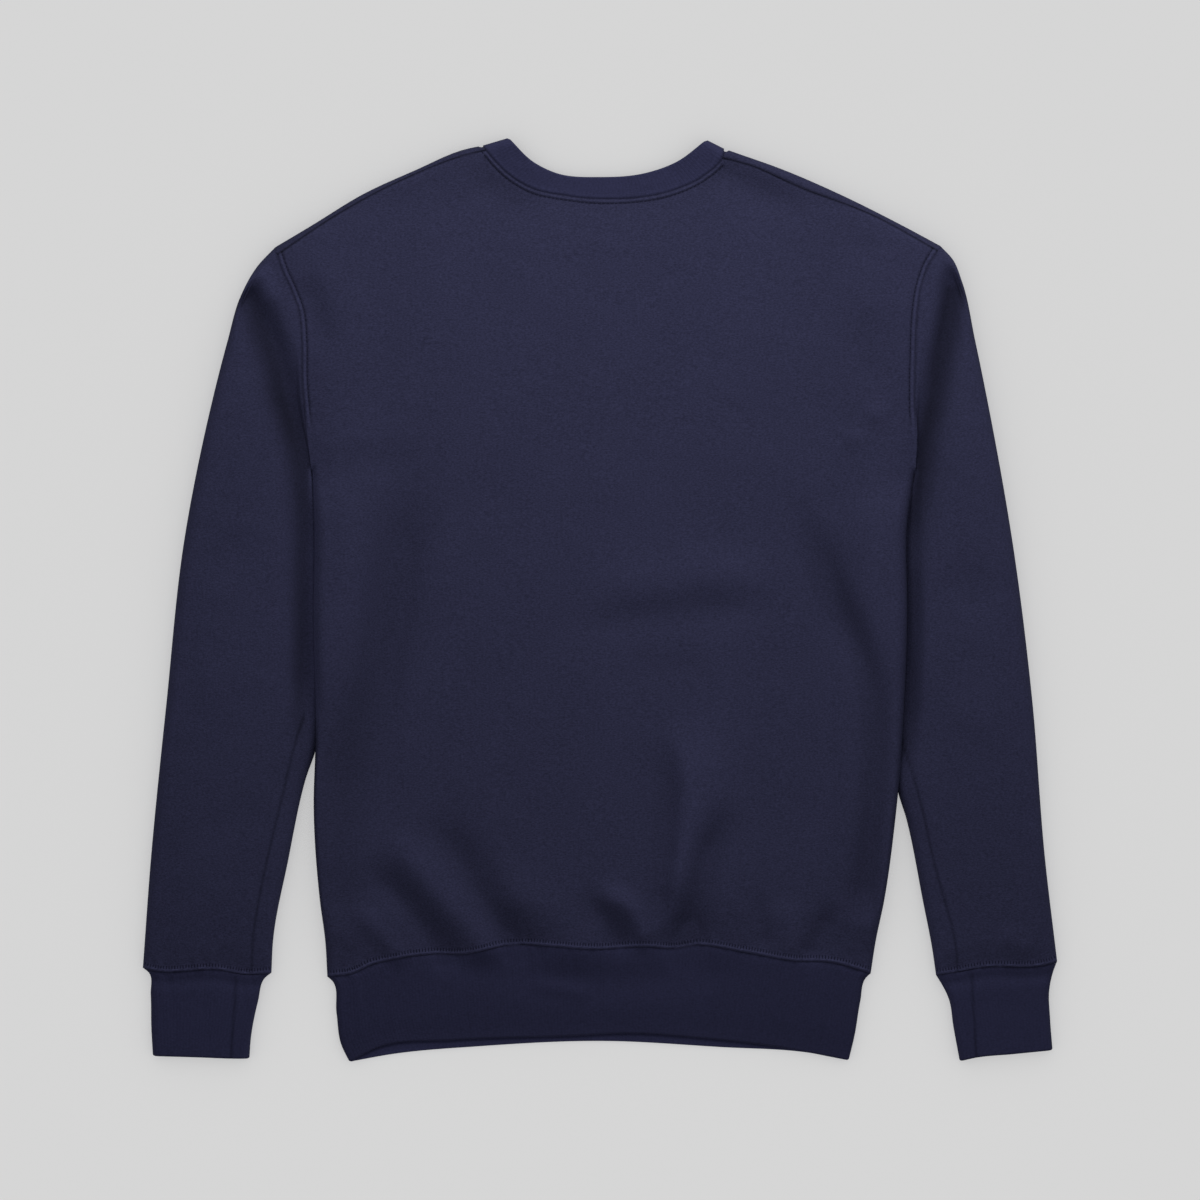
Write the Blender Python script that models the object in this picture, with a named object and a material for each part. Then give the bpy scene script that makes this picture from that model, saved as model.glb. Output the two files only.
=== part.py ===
"""Crewneck sweatshirt of brushed fleece, laid out flat with its back up.

Blender units are metres, +Z is up, +Y runs to the neck and +X to the wearer's right.
The origin is at the bottom centre of the whole garment, on the surface it lies on.
All sizes and tables below are in millimetres; cloth() turns them into metres.

Every piece of cloth is a wall between an outer and an inner skin.  The plan of a piece is a
grid of points between its four edges.  At each plan point the garment is `height` thick, and
near a folded edge it rounds off as a half circle, so the upper cloth rolls over into the
lower one.  The back, the upper half of each tube and the back of the collar are the top
of that form, and the front and the lower halves are its underside, flat at z = 0.
"""

import bpy
import numpy as np

MM = 0.001

# Cloth
FLEECE = 2.4        # wall of the front, the back and the sleeves
RIB = 3.0           # wall of the collar, the cuffs and the waistband, which are folded double
SEAM_GAP = 0.36     # clear gap between two pieces at a seam
LEAST_HOLLOW = 1.5  # space that a fold leaves between the upper and the lower cloth
HEM_HEIGHT = 10.0   # thickness of the garment at the waistband's seam
BAND_END = 8.0      # and at the waistband's free edge
CUFF_HEIGHTS = (12.0, 11.0)  # thickness at a cuff's seam and at its free edge
BAND_BLEND = 60.0   # over this length below the seam the waistband thins
HEM_BLEND = 38.0    # over this length above the seam the body blouses out
ARMHOLE_BLEND = 42.0         # over this length a sleeve takes on its own thickness

FLEECE_COLOUR = (0.0215, 0.0222, 0.0482, 1.0)
RIB_COLOUR = (0.0190, 0.0196, 0.0440, 1.0)


def table(columns, *rows):
    """A short table as a dictionary of arrays, one for each named column."""
    return dict(zip(columns.split(), np.array(rows, float).T))


# Plan of the left and the right half, as knots (x, y) of smooth curves
PLAN = {
    "left": {
        # fold of the shoulder, from the top of the armhole to the collar
        "shoulder": ((-250, 271.5), (-222.4, 288), (-182.3, 312.5), (-142, 331), (-104, 347), (-90, 350)),
        # shoulder seam, on the back a little below that fold
        "shoulder_seam": ((-247.6, 266), (-203, 296.2), (-151, 324), (-107, 341.5), (-87.8, 346.5)),
        "collar_tip": (-70.5, 355.8),
        # armhole seam, from the shoulder fold to the underarm
        "armhole": ((-250, 271.5), (-244, 253), (-236.7, 236.6), (-231.5, 222), (-229.3, 200), (-229, 170),
                    (-226, 135), (-222, 100)),
        # side of the body, from the underarm to the waistband
        "side": ((-222, 100), (-220.3, 60), (-220.8, -20), (-218.8, -105), (-220.3, -160), (-215.5, -232),
                 (-211.6, -262), (-210, -290)),
        "sleeve_outer": ((-250, 271.5), (-264, 256.5), (-277, 233), (-286.5, 200), (-302, 138), (-320, 46),
                         (-333.5, -77), (-345.8, -200), (-352, -283)),
        # inner edge of the sleeve below the place where it comes out from beside the body
        "sleeve_inner": ((-227, -139), (-240.2, -201), (-251.7, -262.5), (-253, -287)),
        "sleeve_leaves_side": -108,
        "cuff_seam": ((-352, -283), (-345, -285), (-293, -285), (-271.6, -288.5), (-253, -287)),
        "cuff_outer": ((-352, -283), (-347.3, -287), (-346, -304), (-345.5, -330), (-344.3, -351)),
        "cuff_inner": ((-253, -287), (-258, -291), (-263.3, -309), (-268.7, -336.5), (-270, -353)),
        "cuff_end": ((-344.3, -351), (-310, -352), (-281, -353), (-270, -353)),
        "band_side": ((-210, -290), (-206.5, -293), (-203, -318), (-199.5, -342), (-193, -355.8)),
    },
    "right": {
        "shoulder": ((262, 272.5), (231.7, 288.8), (185.4, 312), (139.2, 332), (104, 344.5), (95.5, 347.5)),
        "shoulder_seam": ((260, 268.5), (208.6, 296.7), (154.6, 317.3), (114.5, 335), (94.3, 340.5)),
        "collar_tip": (82.1, 354.3),
        "armhole": ((262, 272.5), (252, 256), (246.7, 240), (243.8, 220), (242.4, 187), (242, 150),
                    (243.4, 122), (242, 98)),
        "side": ((242, 98), (236.5, 60), (236.6, -10), (233, -100), (227, -170), (218.6, -232),
                 (212.4, -262), (208.5, -287.5)),
        "sleeve_outer": ((262, 272.5), (272, 261.5), (278.7, 245), (288.7, 200), (301.2, 138), (317.3, 46),
                         (332.7, -77), (342.7, -200), (352, -278)),
        "sleeve_inner": ((236.3, -170), (248.6, -231.7), (256, -270), (258.7, -288.7)),
        "sleeve_leaves_side": -141,
        "cuff_seam": ((352, -278), (344, -280.6), (295, -283), (272, -287), (258.7, -288.7)),
        "cuff_outer": ((352, -278), (349, -286), (346, -300), (346.6, -322), (348.5, -346.5)),
        "cuff_inner": ((258.7, -288.7), (262, -294), (268.5, -307), (272, -328), (277, -355)),
        "cuff_end": ((348.5, -346.5), (318, -349.5), (288, -352.5), (277, -355)),
        "band_side": ((208.5, -287.5), (204.8, -291), (200.5, -309), (196, -336), (191.5, -354.5)),
    },
}

# Neck and hem curves, from the left to the right
NECK_BACK = ((-90, 350), (-87.8, 346.5), (-76.8, 333.2), (-53.7, 317.3), (-25.7, 311), (16.6, 308.8),
             (54.9, 314.7), (80.5, 326.8), (94.3, 340.5), (95.5, 347.5))
COLLAR_BACK = ((-70.5, 355.8), (-51.3, 337.3), (-33.5, 328.7), (0, 325.7), (35.1, 328.8), (59, 337.3),
               (82.1, 354.3))
NECK_FRONT = ((-90, 350), (-88, 335), (-82, 310), (-70, 285), (-50, 264), (-25, 252), (0, 248.5),
              (27, 251.5), (52, 262), (72, 281), (85, 306), (92, 330), (95.5, 347.5))
COLLAR_FRONT = ((-70.5, 355.8), (-69, 335), (-63, 312), (-53, 293), (-37, 278), (-18, 270), (0, 268),
                (20, 270), (40, 277.5), (57, 292), (68, 311), (76, 333), (82.1, 354.3))
HEM = ((-210, -290), (-190, -287.5), (-176, -281), (-160, -277), (-133, -273), (-106, -273), (-73, -266.5),
       (0, -269), (40, -267.3), (54, -268.8), (75, -266), (110, -271), (150, -278), (178, -279),
       (208.5, -287.5))
BAND_END_BACK = ((-193, -355.8), (-171, -344.7), (-112, -338.9), (-24, -335.8), (27, -333.8), (74, -337),
                 (133, -343.6), (191.5, -354.5))
BAND_END_FRONT = ((-193, -355.8), (-161.5, -350.1), (-92, -343.8), (0, -339.8), (93, -344.5), (162, -349),
                  (191.5, -354.5))

# Thickness of the body, a row for each height on it and a column for each place across it
BODY_HEIGHTS = table(
    "y left_edge left_roll left_hollow middle right_hollow right_roll right_edge",
    (-300, 12, 13, 13, 13, 13, 13, 12),
    (-262, 15, 14, 12, 14, 12, 14, 15),
    (-225, 19, 18, 12, 15, 12, 18, 19),
    (-150, 22, 22, 10.5, 13.5, 10.5, 22, 22),
    (-50, 22, 22, 10.5, 13, 10.5, 22, 22),
    (60, 19, 21, 11, 12.5, 11, 21, 19),
    (98, 10, 15, 11.5, 12.5, 11.5, 15, 10),
    (135, 11, 13, 11.5, 12, 11.5, 13, 11),
    (200, 13, 12.5, 12, 11.5, 12, 12.5, 13),
    (270, 15, 14, 12, 10, 12, 14, 15),
    (309, 14, 13, 11, 7.5, 11, 13, 14),
    (356, 13, 13, 13, 8, 13, 13, 13),
)
BODY_PLACES = (0.0, 0.05, 0.14, 0.5, 0.86, 0.95, 1.0)   # share of the width at each column

# Thickness of a sleeve at its outer edge, crest and inner edge, a row for each section
SLEEVE_HEIGHTS = table(
    "share outer crest inner",
    (0.00, 15, 17, 11),
    (0.20, 18, 22, 7),
    (0.55, 17.5, 21, 6.8),
    (0.72, 16, 19, 10),
    (0.88, 14.5, 17, 13),
    (0.96, 13, 15, 13),
    (1.00, 12, 12, 12),
)
SLEEVE_PLACES = (0.0, 0.35, 0.82, 1.0)   # outer edge, crest, end of the crest, inner edge

# Folds of the upper cloth: rise (a trough's is negative), half width, and path as (x, y) knots
BODY_FOLDS = (
    (-4.0, 8, ((-171, -216), (-154, -239), (-138, -259), (-125, -270))),
    (-4.5, 8, ((-123, -184), (-106, -216), (-89, -239), (-70, -262))),
    (2.5, 10, ((-160, -182), (-142, -212), (-119, -243), (-101, -266))),
    (2.5, 12, ((-88, -197), (-65, -228), (-34, -251), (-15, -262))),
    (-4.5, 9, ((99, -162), (90, -189), (79, -220), (66, -262))),
    (4.0, 13, ((56, -104), (68, -135), (68, -178), (53, -258))),
    (-2.5, 8, ((37, -112), (48, -155), (47, -201), (44, -251))),
    (3.0, 8, ((0, -229), (16, -238), (31, -259))),
    (4.0, 14, ((-23, 0), (16, 3), (62, 13), (108, 17), (147, 9))),
    (-2.5, 9, ((-19, -16), (39, -13), (93, -5), (135, -6))),
    (-3.0, 16, ((-142, 111), (-160, 7), (-183, -93), (-192, -201))),
    (-4.0, 11, ((135, 78), (176, 23), (207, -54), (212, -155), (201, -255))),
    (-2.5, 9, ((-229, 246), (-217, 219), (-208, 192))),
)
SLEEVE_FOLDS = {
    "left": ((-8.0, 10, ((-270, 247), (-260, 218), (-251, 188), (-241, 145))),),
    "right": ((-8.0, 10, ((274, 242), (269, 208), (262, 177), (254, 130))),),
}

# Where the grids have their lines
FRONT_EDGE = 0.034         # share of the armhole at which the shoulder seam meets it
UNDERARM = 0.69            # share of the body's rows that lie below the underarm
NECK_START, NECK_END = 0.30, 0.70      # shares of the columns between which the neck lies
FOLD_COLUMN = 4.0          # the front's last shoulder column ends this far from the collar
ROWS_BELOW = (0, 6, 14, 25, 38, 55, 76, 100, 130, 165, 205, 245, 285, 320, 350, 374, 389)
ARMHOLE_TOP = (0, 0.008, FRONT_EDGE, 0.09, 0.17, 0.26, 0.36, 0.47, 0.58, 0.69, 0.79, 0.88, 0.95, 0.992, 1)
ARMHOLE_UNDER = (0, 0.008, FRONT_EDGE, 0.12, 0.26, 0.42, 0.58, 0.74, 0.88, 0.95, 0.992, 1)
EDGE_COLUMNS = (0, 0.0023, 0.0088, 0.0182, 0.032)      # around the roll of a side fold
BACK_SHOULDER = EDGE_COLUMNS + (0.052, 0.078, 0.11, 0.148, 0.188, 0.228, 0.265, NECK_START)
FRONT_SHOULDER = EDGE_COLUMNS + (0.052, 0.078, 0.11, 0.148, 0.188, 0.228, 0.265, NECK_START)
BACK_NECK_COLUMNS = 17
NECK_PAST_FOLD = 0.97      # the front's neck columns take up this share of the neck's
# The sleeve's rows as shares of its outer and its inner edge: they fan out round the underarm
SLEEVE_ROWS = table(
    "outer inner",
    (0, 0), (0.035, 0.006), (0.08, 0.014), (0.13, 0.024), (0.18, 0.036), (0.235, 0.052), (0.29, 0.075),
    (0.35, 0.115), (0.42, 0.18), (0.5, 0.29), (0.58, 0.405), (0.66, 0.52), (0.74, 0.64), (0.82, 0.755),
    (0.89, 0.855), (0.94, 0.925), (0.978, 0.972), (1, 1),
)
CUFF_ROWS = (0, 0.06, 0.3, 0.62, 1)
BAND_ROWS = (0, 0.05, 0.3, 0.62, 1)
COLLAR_ROWS = (0, 0.3, 0.65, 1)
FOLD_POINTS = 90           # points on the line that distances to a folded edge are taken from
BY_FOLD = 0.3              # a point off the fold counts as at least this far from it


# Curves and tables

def along(knots, shares):
    """Points at shares 0 to 1 of the length of a smooth curve through the knots.

    Each stretch is a cubic whose end slopes are the mean slopes around its two knots.
    """
    knots = np.asarray(knots, float)
    shares = np.asarray(shares, float)
    steps = np.hypot(*np.diff(knots, axis=0).T)
    lengths = np.concatenate([[0.0], np.cumsum(steps)])
    slopes = np.gradient(knots, lengths, axis=0)
    at = shares * lengths[-1]
    first = np.clip(np.searchsorted(lengths, at, side="right") - 1, 0, len(steps) - 1)
    step = steps[first][:, None]
    part = (at - lengths[first])[:, None] / step
    start = (1 + 2 * part) * (1 - part) ** 2 * knots[first]
    leave = part * (1 - part) ** 2 * step * slopes[first]
    end = part ** 2 * (3 - 2 * part) * knots[first + 1]
    arrive = part ** 2 * (part - 1) * step * slopes[first + 1]
    return start + leave + end + arrive


def length_of(knots):
    return float(np.hypot(*np.diff(np.asarray(knots, float), axis=0).T).sum())


def through(places, values, at):
    """Values at the places `at` on a curve through (places, values) that never overshoots.

    `values` has a row for each place and may have a column for each point of `at`.  Each
    stretch is a cubic; a slope is the harmonic mean of its two neighbours, or flat at a turn.
    """
    places = np.asarray(places, float)
    values = np.asarray(values, float)
    if values.ndim == 1:
        values = np.repeat(values[:, None], len(at), axis=1)
    rises = np.diff(values, axis=0) / np.diff(places)[:, None]
    before, after = rises[:-1], rises[1:]
    same_way = before * after > 0
    total = np.where(same_way, before + after, 1.0)
    inner = np.where(same_way, 2 * before * after / total, 0.0)
    slopes = np.concatenate([rises[:1], inner, rises[-1:]])
    at = np.clip(at, places[0], places[-1])
    first = np.clip(np.searchsorted(places, at, side="right") - 1, 0, len(places) - 2)
    point = np.arange(len(at))
    step = places[first + 1] - places[first]
    part = (at - places[first]) / step
    low, high = values[first, point], values[first + 1, point]
    leave, arrive = slopes[first, point] * step, slopes[first + 1, point] * step
    bend = part * (1 - part) * ((1 - part) * (leave - (high - low)) - part * (arrive - (high - low)))
    return low + part * (high - low) + bend


def ease(share):
    """0 below 0, 1 above 1, and a smooth step between them."""
    share = np.clip(share, 0.0, 1.0)
    return share * share * (3.0 - 2.0 * share)


def nearest_on(plan, lines):
    """Foot of each plan point on the nearest of some lines, and that line's unit direction."""
    starts = np.concatenate([line[:-1] for line in lines])
    runs = np.concatenate([np.diff(line, axis=0) for line in lines])
    squares = (runs ** 2).sum(axis=1)
    share = ((plan[:, None] - starts) * runs).sum(axis=2) / squares
    feet = starts + np.clip(share, 0.0, 1.0)[..., None] * runs
    away = ((plan[:, None] - feet) ** 2).sum(axis=2)
    best = away.argmin(axis=1)
    direction = runs[best] / np.sqrt(squares[best])[:, None]
    return feet[np.arange(len(plan)), best], direction


# Form of the garment

def edge_line(knots):
    return along(knots, np.linspace(0.0, 1.0, FOLD_POINTS))


TUCK_BELOW = (0, 12, 35, 80)         # distance below the underarm, and there the sleeve's
TUCK = (0.0, -0.7, -0.4, 0.6)        # inner edge lies this far inside the side of the body


def sleeve_inner_edge(half):
    """Knots of the sleeve's inner edge: it starts at the underarm, lies beside the body and
    then a little under the roll of its side, and leaves it for the cuff."""
    plan = PLAN[half]
    side = edge_line(plan["side"])
    underarm = side[0, 1]
    y = np.linspace(underarm, plan["sleeve_leaves_side"], 9)
    x = np.interp(-y, -side[:, 1], side[:, 0])
    tuck = np.interp(underarm - y, TUCK_BELOW, TUCK)
    beside = np.column_stack([x - np.sign(x) * tuck, y])
    return np.vstack([beside, plan["sleeve_inner"]])


def outer_line(half):
    """The fold that runs from the collar's tip over the shoulder and down the sleeve."""
    plan = PLAN[half]
    shoulder = edge_line(plan["shoulder"])[::-1]
    return np.vstack([[plan["collar_tip"]], shoulder, edge_line(plan["sleeve_outer"])[1:]])


BODY_LINES = [edge_line(PLAN[half]["side"]) for half in PLAN] + [outer_line(half) for half in PLAN]


def width_at(y):
    """Left and right x of the body at each y, along sides, armholes and shoulders."""
    found = []
    for half in ("left", "right"):
        plan = PLAN[half]
        rise = np.vstack([edge_line(plan[part])[::-1] for part in ("side", "armhole")])
        rise = np.vstack([rise, edge_line(plan["shoulder"]), [plan["collar_tip"]]])
        found.append(np.interp(y, rise[:, 1], rise[:, 0]))
    return found


def body_height(plan):
    """Thickness of the body, collar and waistband at plan points, from BODY_HEIGHTS.

    Over HEM_BLEND above the waistband's seam it eases to HEM_HEIGHT, and below the seam it
    thins to BAND_END.
    """
    x, y = plan.T
    left, right = width_at(y)
    columns = [through(BODY_HEIGHTS["y"], BODY_HEIGHTS[name], y) for name in list(BODY_HEIGHTS)[1:]]
    across = np.clip((x - left) / (right - left), 0.0, 1.0)
    height = through(BODY_PLACES, np.array(columns), across)
    seam = edge_line(HEM)
    above = y - np.interp(x, seam[:, 0], seam[:, 1])
    above_seam = HEM_HEIGHT + (height - HEM_HEIGHT) * ease(above / HEM_BLEND)
    band = HEM_HEIGHT + (BAND_END - HEM_HEIGHT) * ease(-above / BAND_BLEND)
    return np.where(above > 0, above_seam, band)


def folds_at(plan, folds):
    """Sum of the folds at plan points: each is a soft ridge or trough, its rise times a bell
    curve of the distance to its path."""
    total = np.zeros(len(plan))
    for rise, width, path in folds:
        foot, _ = nearest_on(plan, [along(path, np.linspace(0, 1, 24))])
        away = ((plan - foot) ** 2).sum(axis=1)
        total += rise * np.exp(-away / (2.0 * width ** 2))
    return total


def skins(plan, height, lift, folded, on_fold, inwards, wall, up, gap=0.0):
    """Outer and inner skin over a grid of plan points, for the top (up = 1) or the underside.

    Near a folded edge the form is a half circle as wide as half the height.  `round` is the
    sine of the angle round that circle: 0 on the edge and 1 beyond the roll.  The inner skin
    lies one wall inside the outer one, square to it, but never across one of the seams whose
    inward vectors are given.  `on_fold` marks the grid points that lie on the fold, where a
    panel keeps `gap` off the middle height and a tube none.
    """
    shape = plan.shape[:-1]
    flat = plan.reshape(-1, 2)
    foot, direction = nearest_on(flat, folded)
    away = np.hypot(*(foot - flat).T)
    away[on_fold.ravel()] = 0.0
    square = np.column_stack([direction[:, 1], -direction[:, 0]])
    outward = np.sign(((foot - flat.mean(axis=0)) * square).sum(axis=1))[:, None] * square
    far = away > BY_FOLD
    outward[far] = ((foot - flat) / np.maximum(away, BY_FOLD)[:, None])[far]
    half = height.ravel() / 2.0
    away = np.where(on_fold.ravel(), 0.0, np.maximum(away, BY_FOLD))
    inside = np.clip(1.0 - away / half, 0.0, 1.0)
    round_ = np.sqrt(1.0 - inside ** 2)
    gap = np.ravel(gap)
    outer_rise = np.maximum(half * round_, gap)
    inner_rise = np.maximum((half - wall) * round_, gap)
    least = 2.0 * wall + LEAST_HOLLOW - 2.0 * half
    raised = np.maximum(lift.ravel(), np.minimum(least, 0.0)) * ease(2.0 * round_ - 1.0)
    outer = np.column_stack([flat, half + up * outer_rise + raised])
    shift = -wall * inside[:, None] * outward
    for inward in inwards:
        square = inward.reshape(-1, 2)
        shift -= np.minimum((shift * square).sum(axis=1), 0.0)[:, None] * square
    inner = np.column_stack([flat + shift, half + up * inner_rise + raised])
    return outer.reshape(*shape, 3), inner.reshape(*shape, 3)


def bow_of(edge, shares):
    """How far an edge strays from the straight chord between its ends."""
    shares = np.asarray(shares, float)[:, None]
    return edge - ((1 - shares) * edge[0] + shares * edge[-1])


def bowed(low, high, first, last, across, low_fade, high_fade):
    """Grid between four edges: `low` and `high` run across, `first` and `last` run up.

    Each row is the straight chord from first to last, plus a share of the bow of low and of
    high: low_fade and high_fade give those shares for each row.
    """
    s = np.asarray(across)[None, :, None]
    chords = (1 - s) * first[:, None] + s * last[:, None]
    low_bow, high_bow = bow_of(low, across)[None], bow_of(high, across)[None]
    return chords + low_fade[:, None, None] * low_bow + high_fade[:, None, None] * high_bow


def patch(low, high, first, last, across, up):
    """Grid between four edges: the flat four-sided form of its corners plus each edge's bow.

    The bows of low and high fade evenly to the other edge; those of first and last fade with
    the fifth power, so that only the columns beside them bend.
    """
    s = np.asarray(across, float)[None, :, None]
    t = np.asarray(up, float)[:, None, None]
    low_line = (1 - s) * low[0] + s * low[-1]
    high_line = (1 - s) * high[0] + s * high[-1]
    ends = (1 - t) * low_line + t * high_line
    rows = (1 - t) * bow_of(low, across)[None] + t * bow_of(high, across)[None]
    sides = (1 - s) ** 5 * bow_of(first, up)[:, None] + s ** 5 * bow_of(last, up)[:, None]
    return ends + rows + sides


def square_to(seam, inside):
    """Unit vectors in plan, square to a seam and towards the points inside its piece."""
    run = np.gradient(seam, axis=0)
    square = np.column_stack([-run[:, 1], run[:, 0]])
    square /= np.hypot(*square.T)[:, None]
    return square * np.sign((square * (inside - seam)).sum(axis=1))[:, None]


def draw_in(grid, seams):
    """The grid with each seam moved half a gap into its piece, and the inward unit vectors.

    A seam is a pair: the index of its points in the grid, and points inside the piece.
    """
    inwards = []
    for seam, inside in seams:
        inward = np.zeros(grid.shape)
        inward[seam] = square_to(grid[seam], inside)
        inwards.append(inward)
    return grid + SEAM_GAP / 2.0 * sum(inwards), inwards


# Meshes

def faces_between(rows, columns, ring):
    """Quads of a grid of points, as indices; a ring closes on its first column."""
    index = np.arange(rows * columns).reshape(rows, columns)
    if ring:
        index = np.hstack([index, index[:, :1]])
    low, high = index[:-1], index[1:]
    return np.stack([low[:, :-1], low[:, 1:], high[:, 1:], high[:, :-1]], axis=-1).reshape(-1, 4)


def rim_between(edge, offset, ring):
    """Quads that join an edge of the outer skin to the same edge of the inner one."""
    if ring:
        edge = np.append(edge, edge[0])
    return np.stack([edge[1:], edge[:-1], edge[:-1] + offset, edge[1:] + offset], axis=-1)


def cloth(name, outer, inner, material, ring):
    """One closed wall between the two skins, with its faces turned outwards."""
    rows, columns = outer.shape[:2]
    count = rows * columns
    skin = faces_between(rows, columns, ring)
    index = np.arange(count).reshape(rows, columns)
    faces = [skin, skin[:, ::-1] + count, rim_between(index[0], count, ring)]
    faces.append(rim_between(index[-1][::-1], count, ring))
    if not ring:
        faces.append(rim_between(index[::-1, 0], count, ring))
        faces.append(rim_between(index[:, -1], count, ring))
    faces = np.vstack(faces)
    points = np.vstack([outer.reshape(-1, 3), inner.reshape(-1, 3)]) * MM
    corners = points[faces]
    middle = corners.mean(axis=1)
    area = np.cross(corners[:, 2] - corners[:, 0], corners[:, 3] - corners[:, 1])
    if (middle * area).sum() < 0.0:
        faces = faces[:, ::-1]
    mesh = bpy.data.meshes.new(name)
    mesh.from_pydata(points.tolist(), [], faces.tolist())
    mesh.shade_smooth()
    mesh.set_sharp_from_angle(angle=np.radians(50.0))
    mesh.materials.append(material)
    piece = bpy.data.objects.new(name, mesh)
    bpy.context.scene.collection.objects.link(piece)
    return piece


def ends_of_rows(grid):
    """Marks the first and the last point of each row."""
    marks = np.zeros(grid.shape[:2], bool)
    marks[:, [0, -1]] = True
    return marks


def tube(name, layers, lift, folded, wall, material, last_is_seam=False):
    """A laid-flat tube of two layers, top and underside, which share both folds.

    A layer is its plan grid and its thickness.  The first row is a seam, and so is the last
    one if it is marked.
    """
    skinned = []
    for (grid, height), up in zip(layers, (1, -1)):
        middle = grid.mean(axis=(0, 1))
        seams = [(np.s_[0], middle)] + ([(np.s_[-1], middle)] if last_is_seam else [])
        moved, inwards = draw_in(grid, seams)
        raised = lift if up > 0 else np.zeros(height.shape)
        skinned.append(skins(moved, height, raised, folded, ends_of_rows(grid), inwards, wall, up))
    (outer, inner), (lower, lining) = skinned
    outer = np.hstack([outer, lower[:, -2:0:-1]])
    inner = np.hstack([inner, lining[:, -2:0:-1]])
    return cloth(name, outer, inner, material, ring=True)


def material(name, colour, roughness):
    made = bpy.data.materials.new(name)
    made.diffuse_color = colour
    made.use_nodes = True
    shader = made.node_tree.nodes["Principled BSDF"]
    shader.inputs["Base Color"].default_value = colour
    shader.inputs["Roughness"].default_value = roughness
    shader.inputs["Metallic"].default_value = 0.0
    return made


# Pieces

def height_over(grid):
    return body_height(grid.reshape(-1, 2)).reshape(grid.shape[:-1])


def lift_over(grid, folds):
    return folds_at(grid.reshape(-1, 2), folds).reshape(grid.shape[:-1])


def body_edges(half, ends):
    """Side edge of a body panel from the waistband up, at the rows below the underarm and
    then at the armhole shares `ends`, and the share of each of its rows."""
    plan = PLAN[half]
    below = np.array(ROWS_BELOW) / ROWS_BELOW[-1]
    side = along(plan["side"], 1.0 - below)
    armhole = along(plan["armhole"], ends)
    rows = UNDERARM + (1.0 - UNDERARM) * (1.0 - ends) / (1.0 - ends[-1])
    return np.vstack([side, armhole]), np.append(UNDERARM * below, rows)


def columns_across(shoulder, neck_shares=None):
    """Shares of a body panel's columns across it.

    The back's neck columns are even and start at its last shoulder column.  The front's follow
    its neck seam and start a little further in, past the fold.
    """
    shoulder = np.array(shoulder)
    if neck_shares is None:
        neck = np.linspace(NECK_START, NECK_END, BACK_NECK_COLUMNS)[1:-1]
    else:
        neck = 0.5 + (NECK_END - NECK_START) * NECK_PAST_FOLD * (neck_shares - 0.5)
    return np.concatenate([shoulder, neck, 1.0 - shoulder[::-1]])


def armholes_and_hem(grid):
    """The seams that both body panels have: the hem and the two armholes."""
    rows = slice(len(ROWS_BELOW) - 1, None)
    return [(np.s_[0], grid[2]), (np.s_[rows, 0], grid[rows, 4]), (np.s_[rows, -1], grid[rows, -5])]


def build_back(fleece):
    """The back, on top, from the waistband to the shoulder seams and the neck seam."""
    ends = np.array(ARMHOLE_TOP[:1:-1])[1:]
    left, rows = body_edges("left", ends)
    right, _ = body_edges("right", ends)
    shoulder = np.array(BACK_SHOULDER)
    across = columns_across(BACK_SHOULDER)
    left_seam = along(PLAN["left"]["shoulder_seam"], shoulder / NECK_START)
    right_seam = along(PLAN["right"]["shoulder_seam"], shoulder / NECK_START)[::-1]
    left_seam[0], right_seam[-1] = left[-1], right[-1]
    start, end = neck_ends()
    neck_seam = along(NECK_BACK, np.linspace(start, end, BACK_NECK_COLUMNS))
    top = np.vstack([left_seam, neck_seam[1:-1], right_seam])
    grid = patch(along(HEM, across), top, left, right, across, rows)
    first, last = len(shoulder) - 1, len(across) - len(shoulder)
    parts = (slice(0, first + 1), slice(first, last + 1), slice(last, None))
    top_seams = [(np.s_[-1, columns], grid[-3, columns]) for columns in parts]
    moved, inwards = draw_in(grid, armholes_and_hem(grid) + top_seams)
    on_fold = ends_of_rows(grid)
    on_fold[len(ROWS_BELOW):] = False
    outer, inner = skins(moved, height_over(grid), lift_over(grid, BODY_FOLDS), BODY_LINES, on_fold,
                         inwards, FLEECE, 1, SEAM_GAP / 2.0)
    return cloth("back", outer, inner, fleece, ring=False)


def neck_ends():
    """Shares of the back neck seam at which the two shoulder seams meet it."""
    total = length_of(NECK_BACK)
    return length_of(NECK_BACK[:2]) / total, 1.0 - length_of(NECK_BACK[-2:]) / total


def front_neck_shares():
    """Shares of the front neck seam at the front's columns, close together round each fold."""
    near = np.array((0.0, 1.6, 6.0, 16.0)) / length_of(NECK_FRONT)
    return np.concatenate([near, np.linspace(near[-1], 1.0 - near[-1], 9)[1:-1], 1.0 - near[::-1]])


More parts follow.
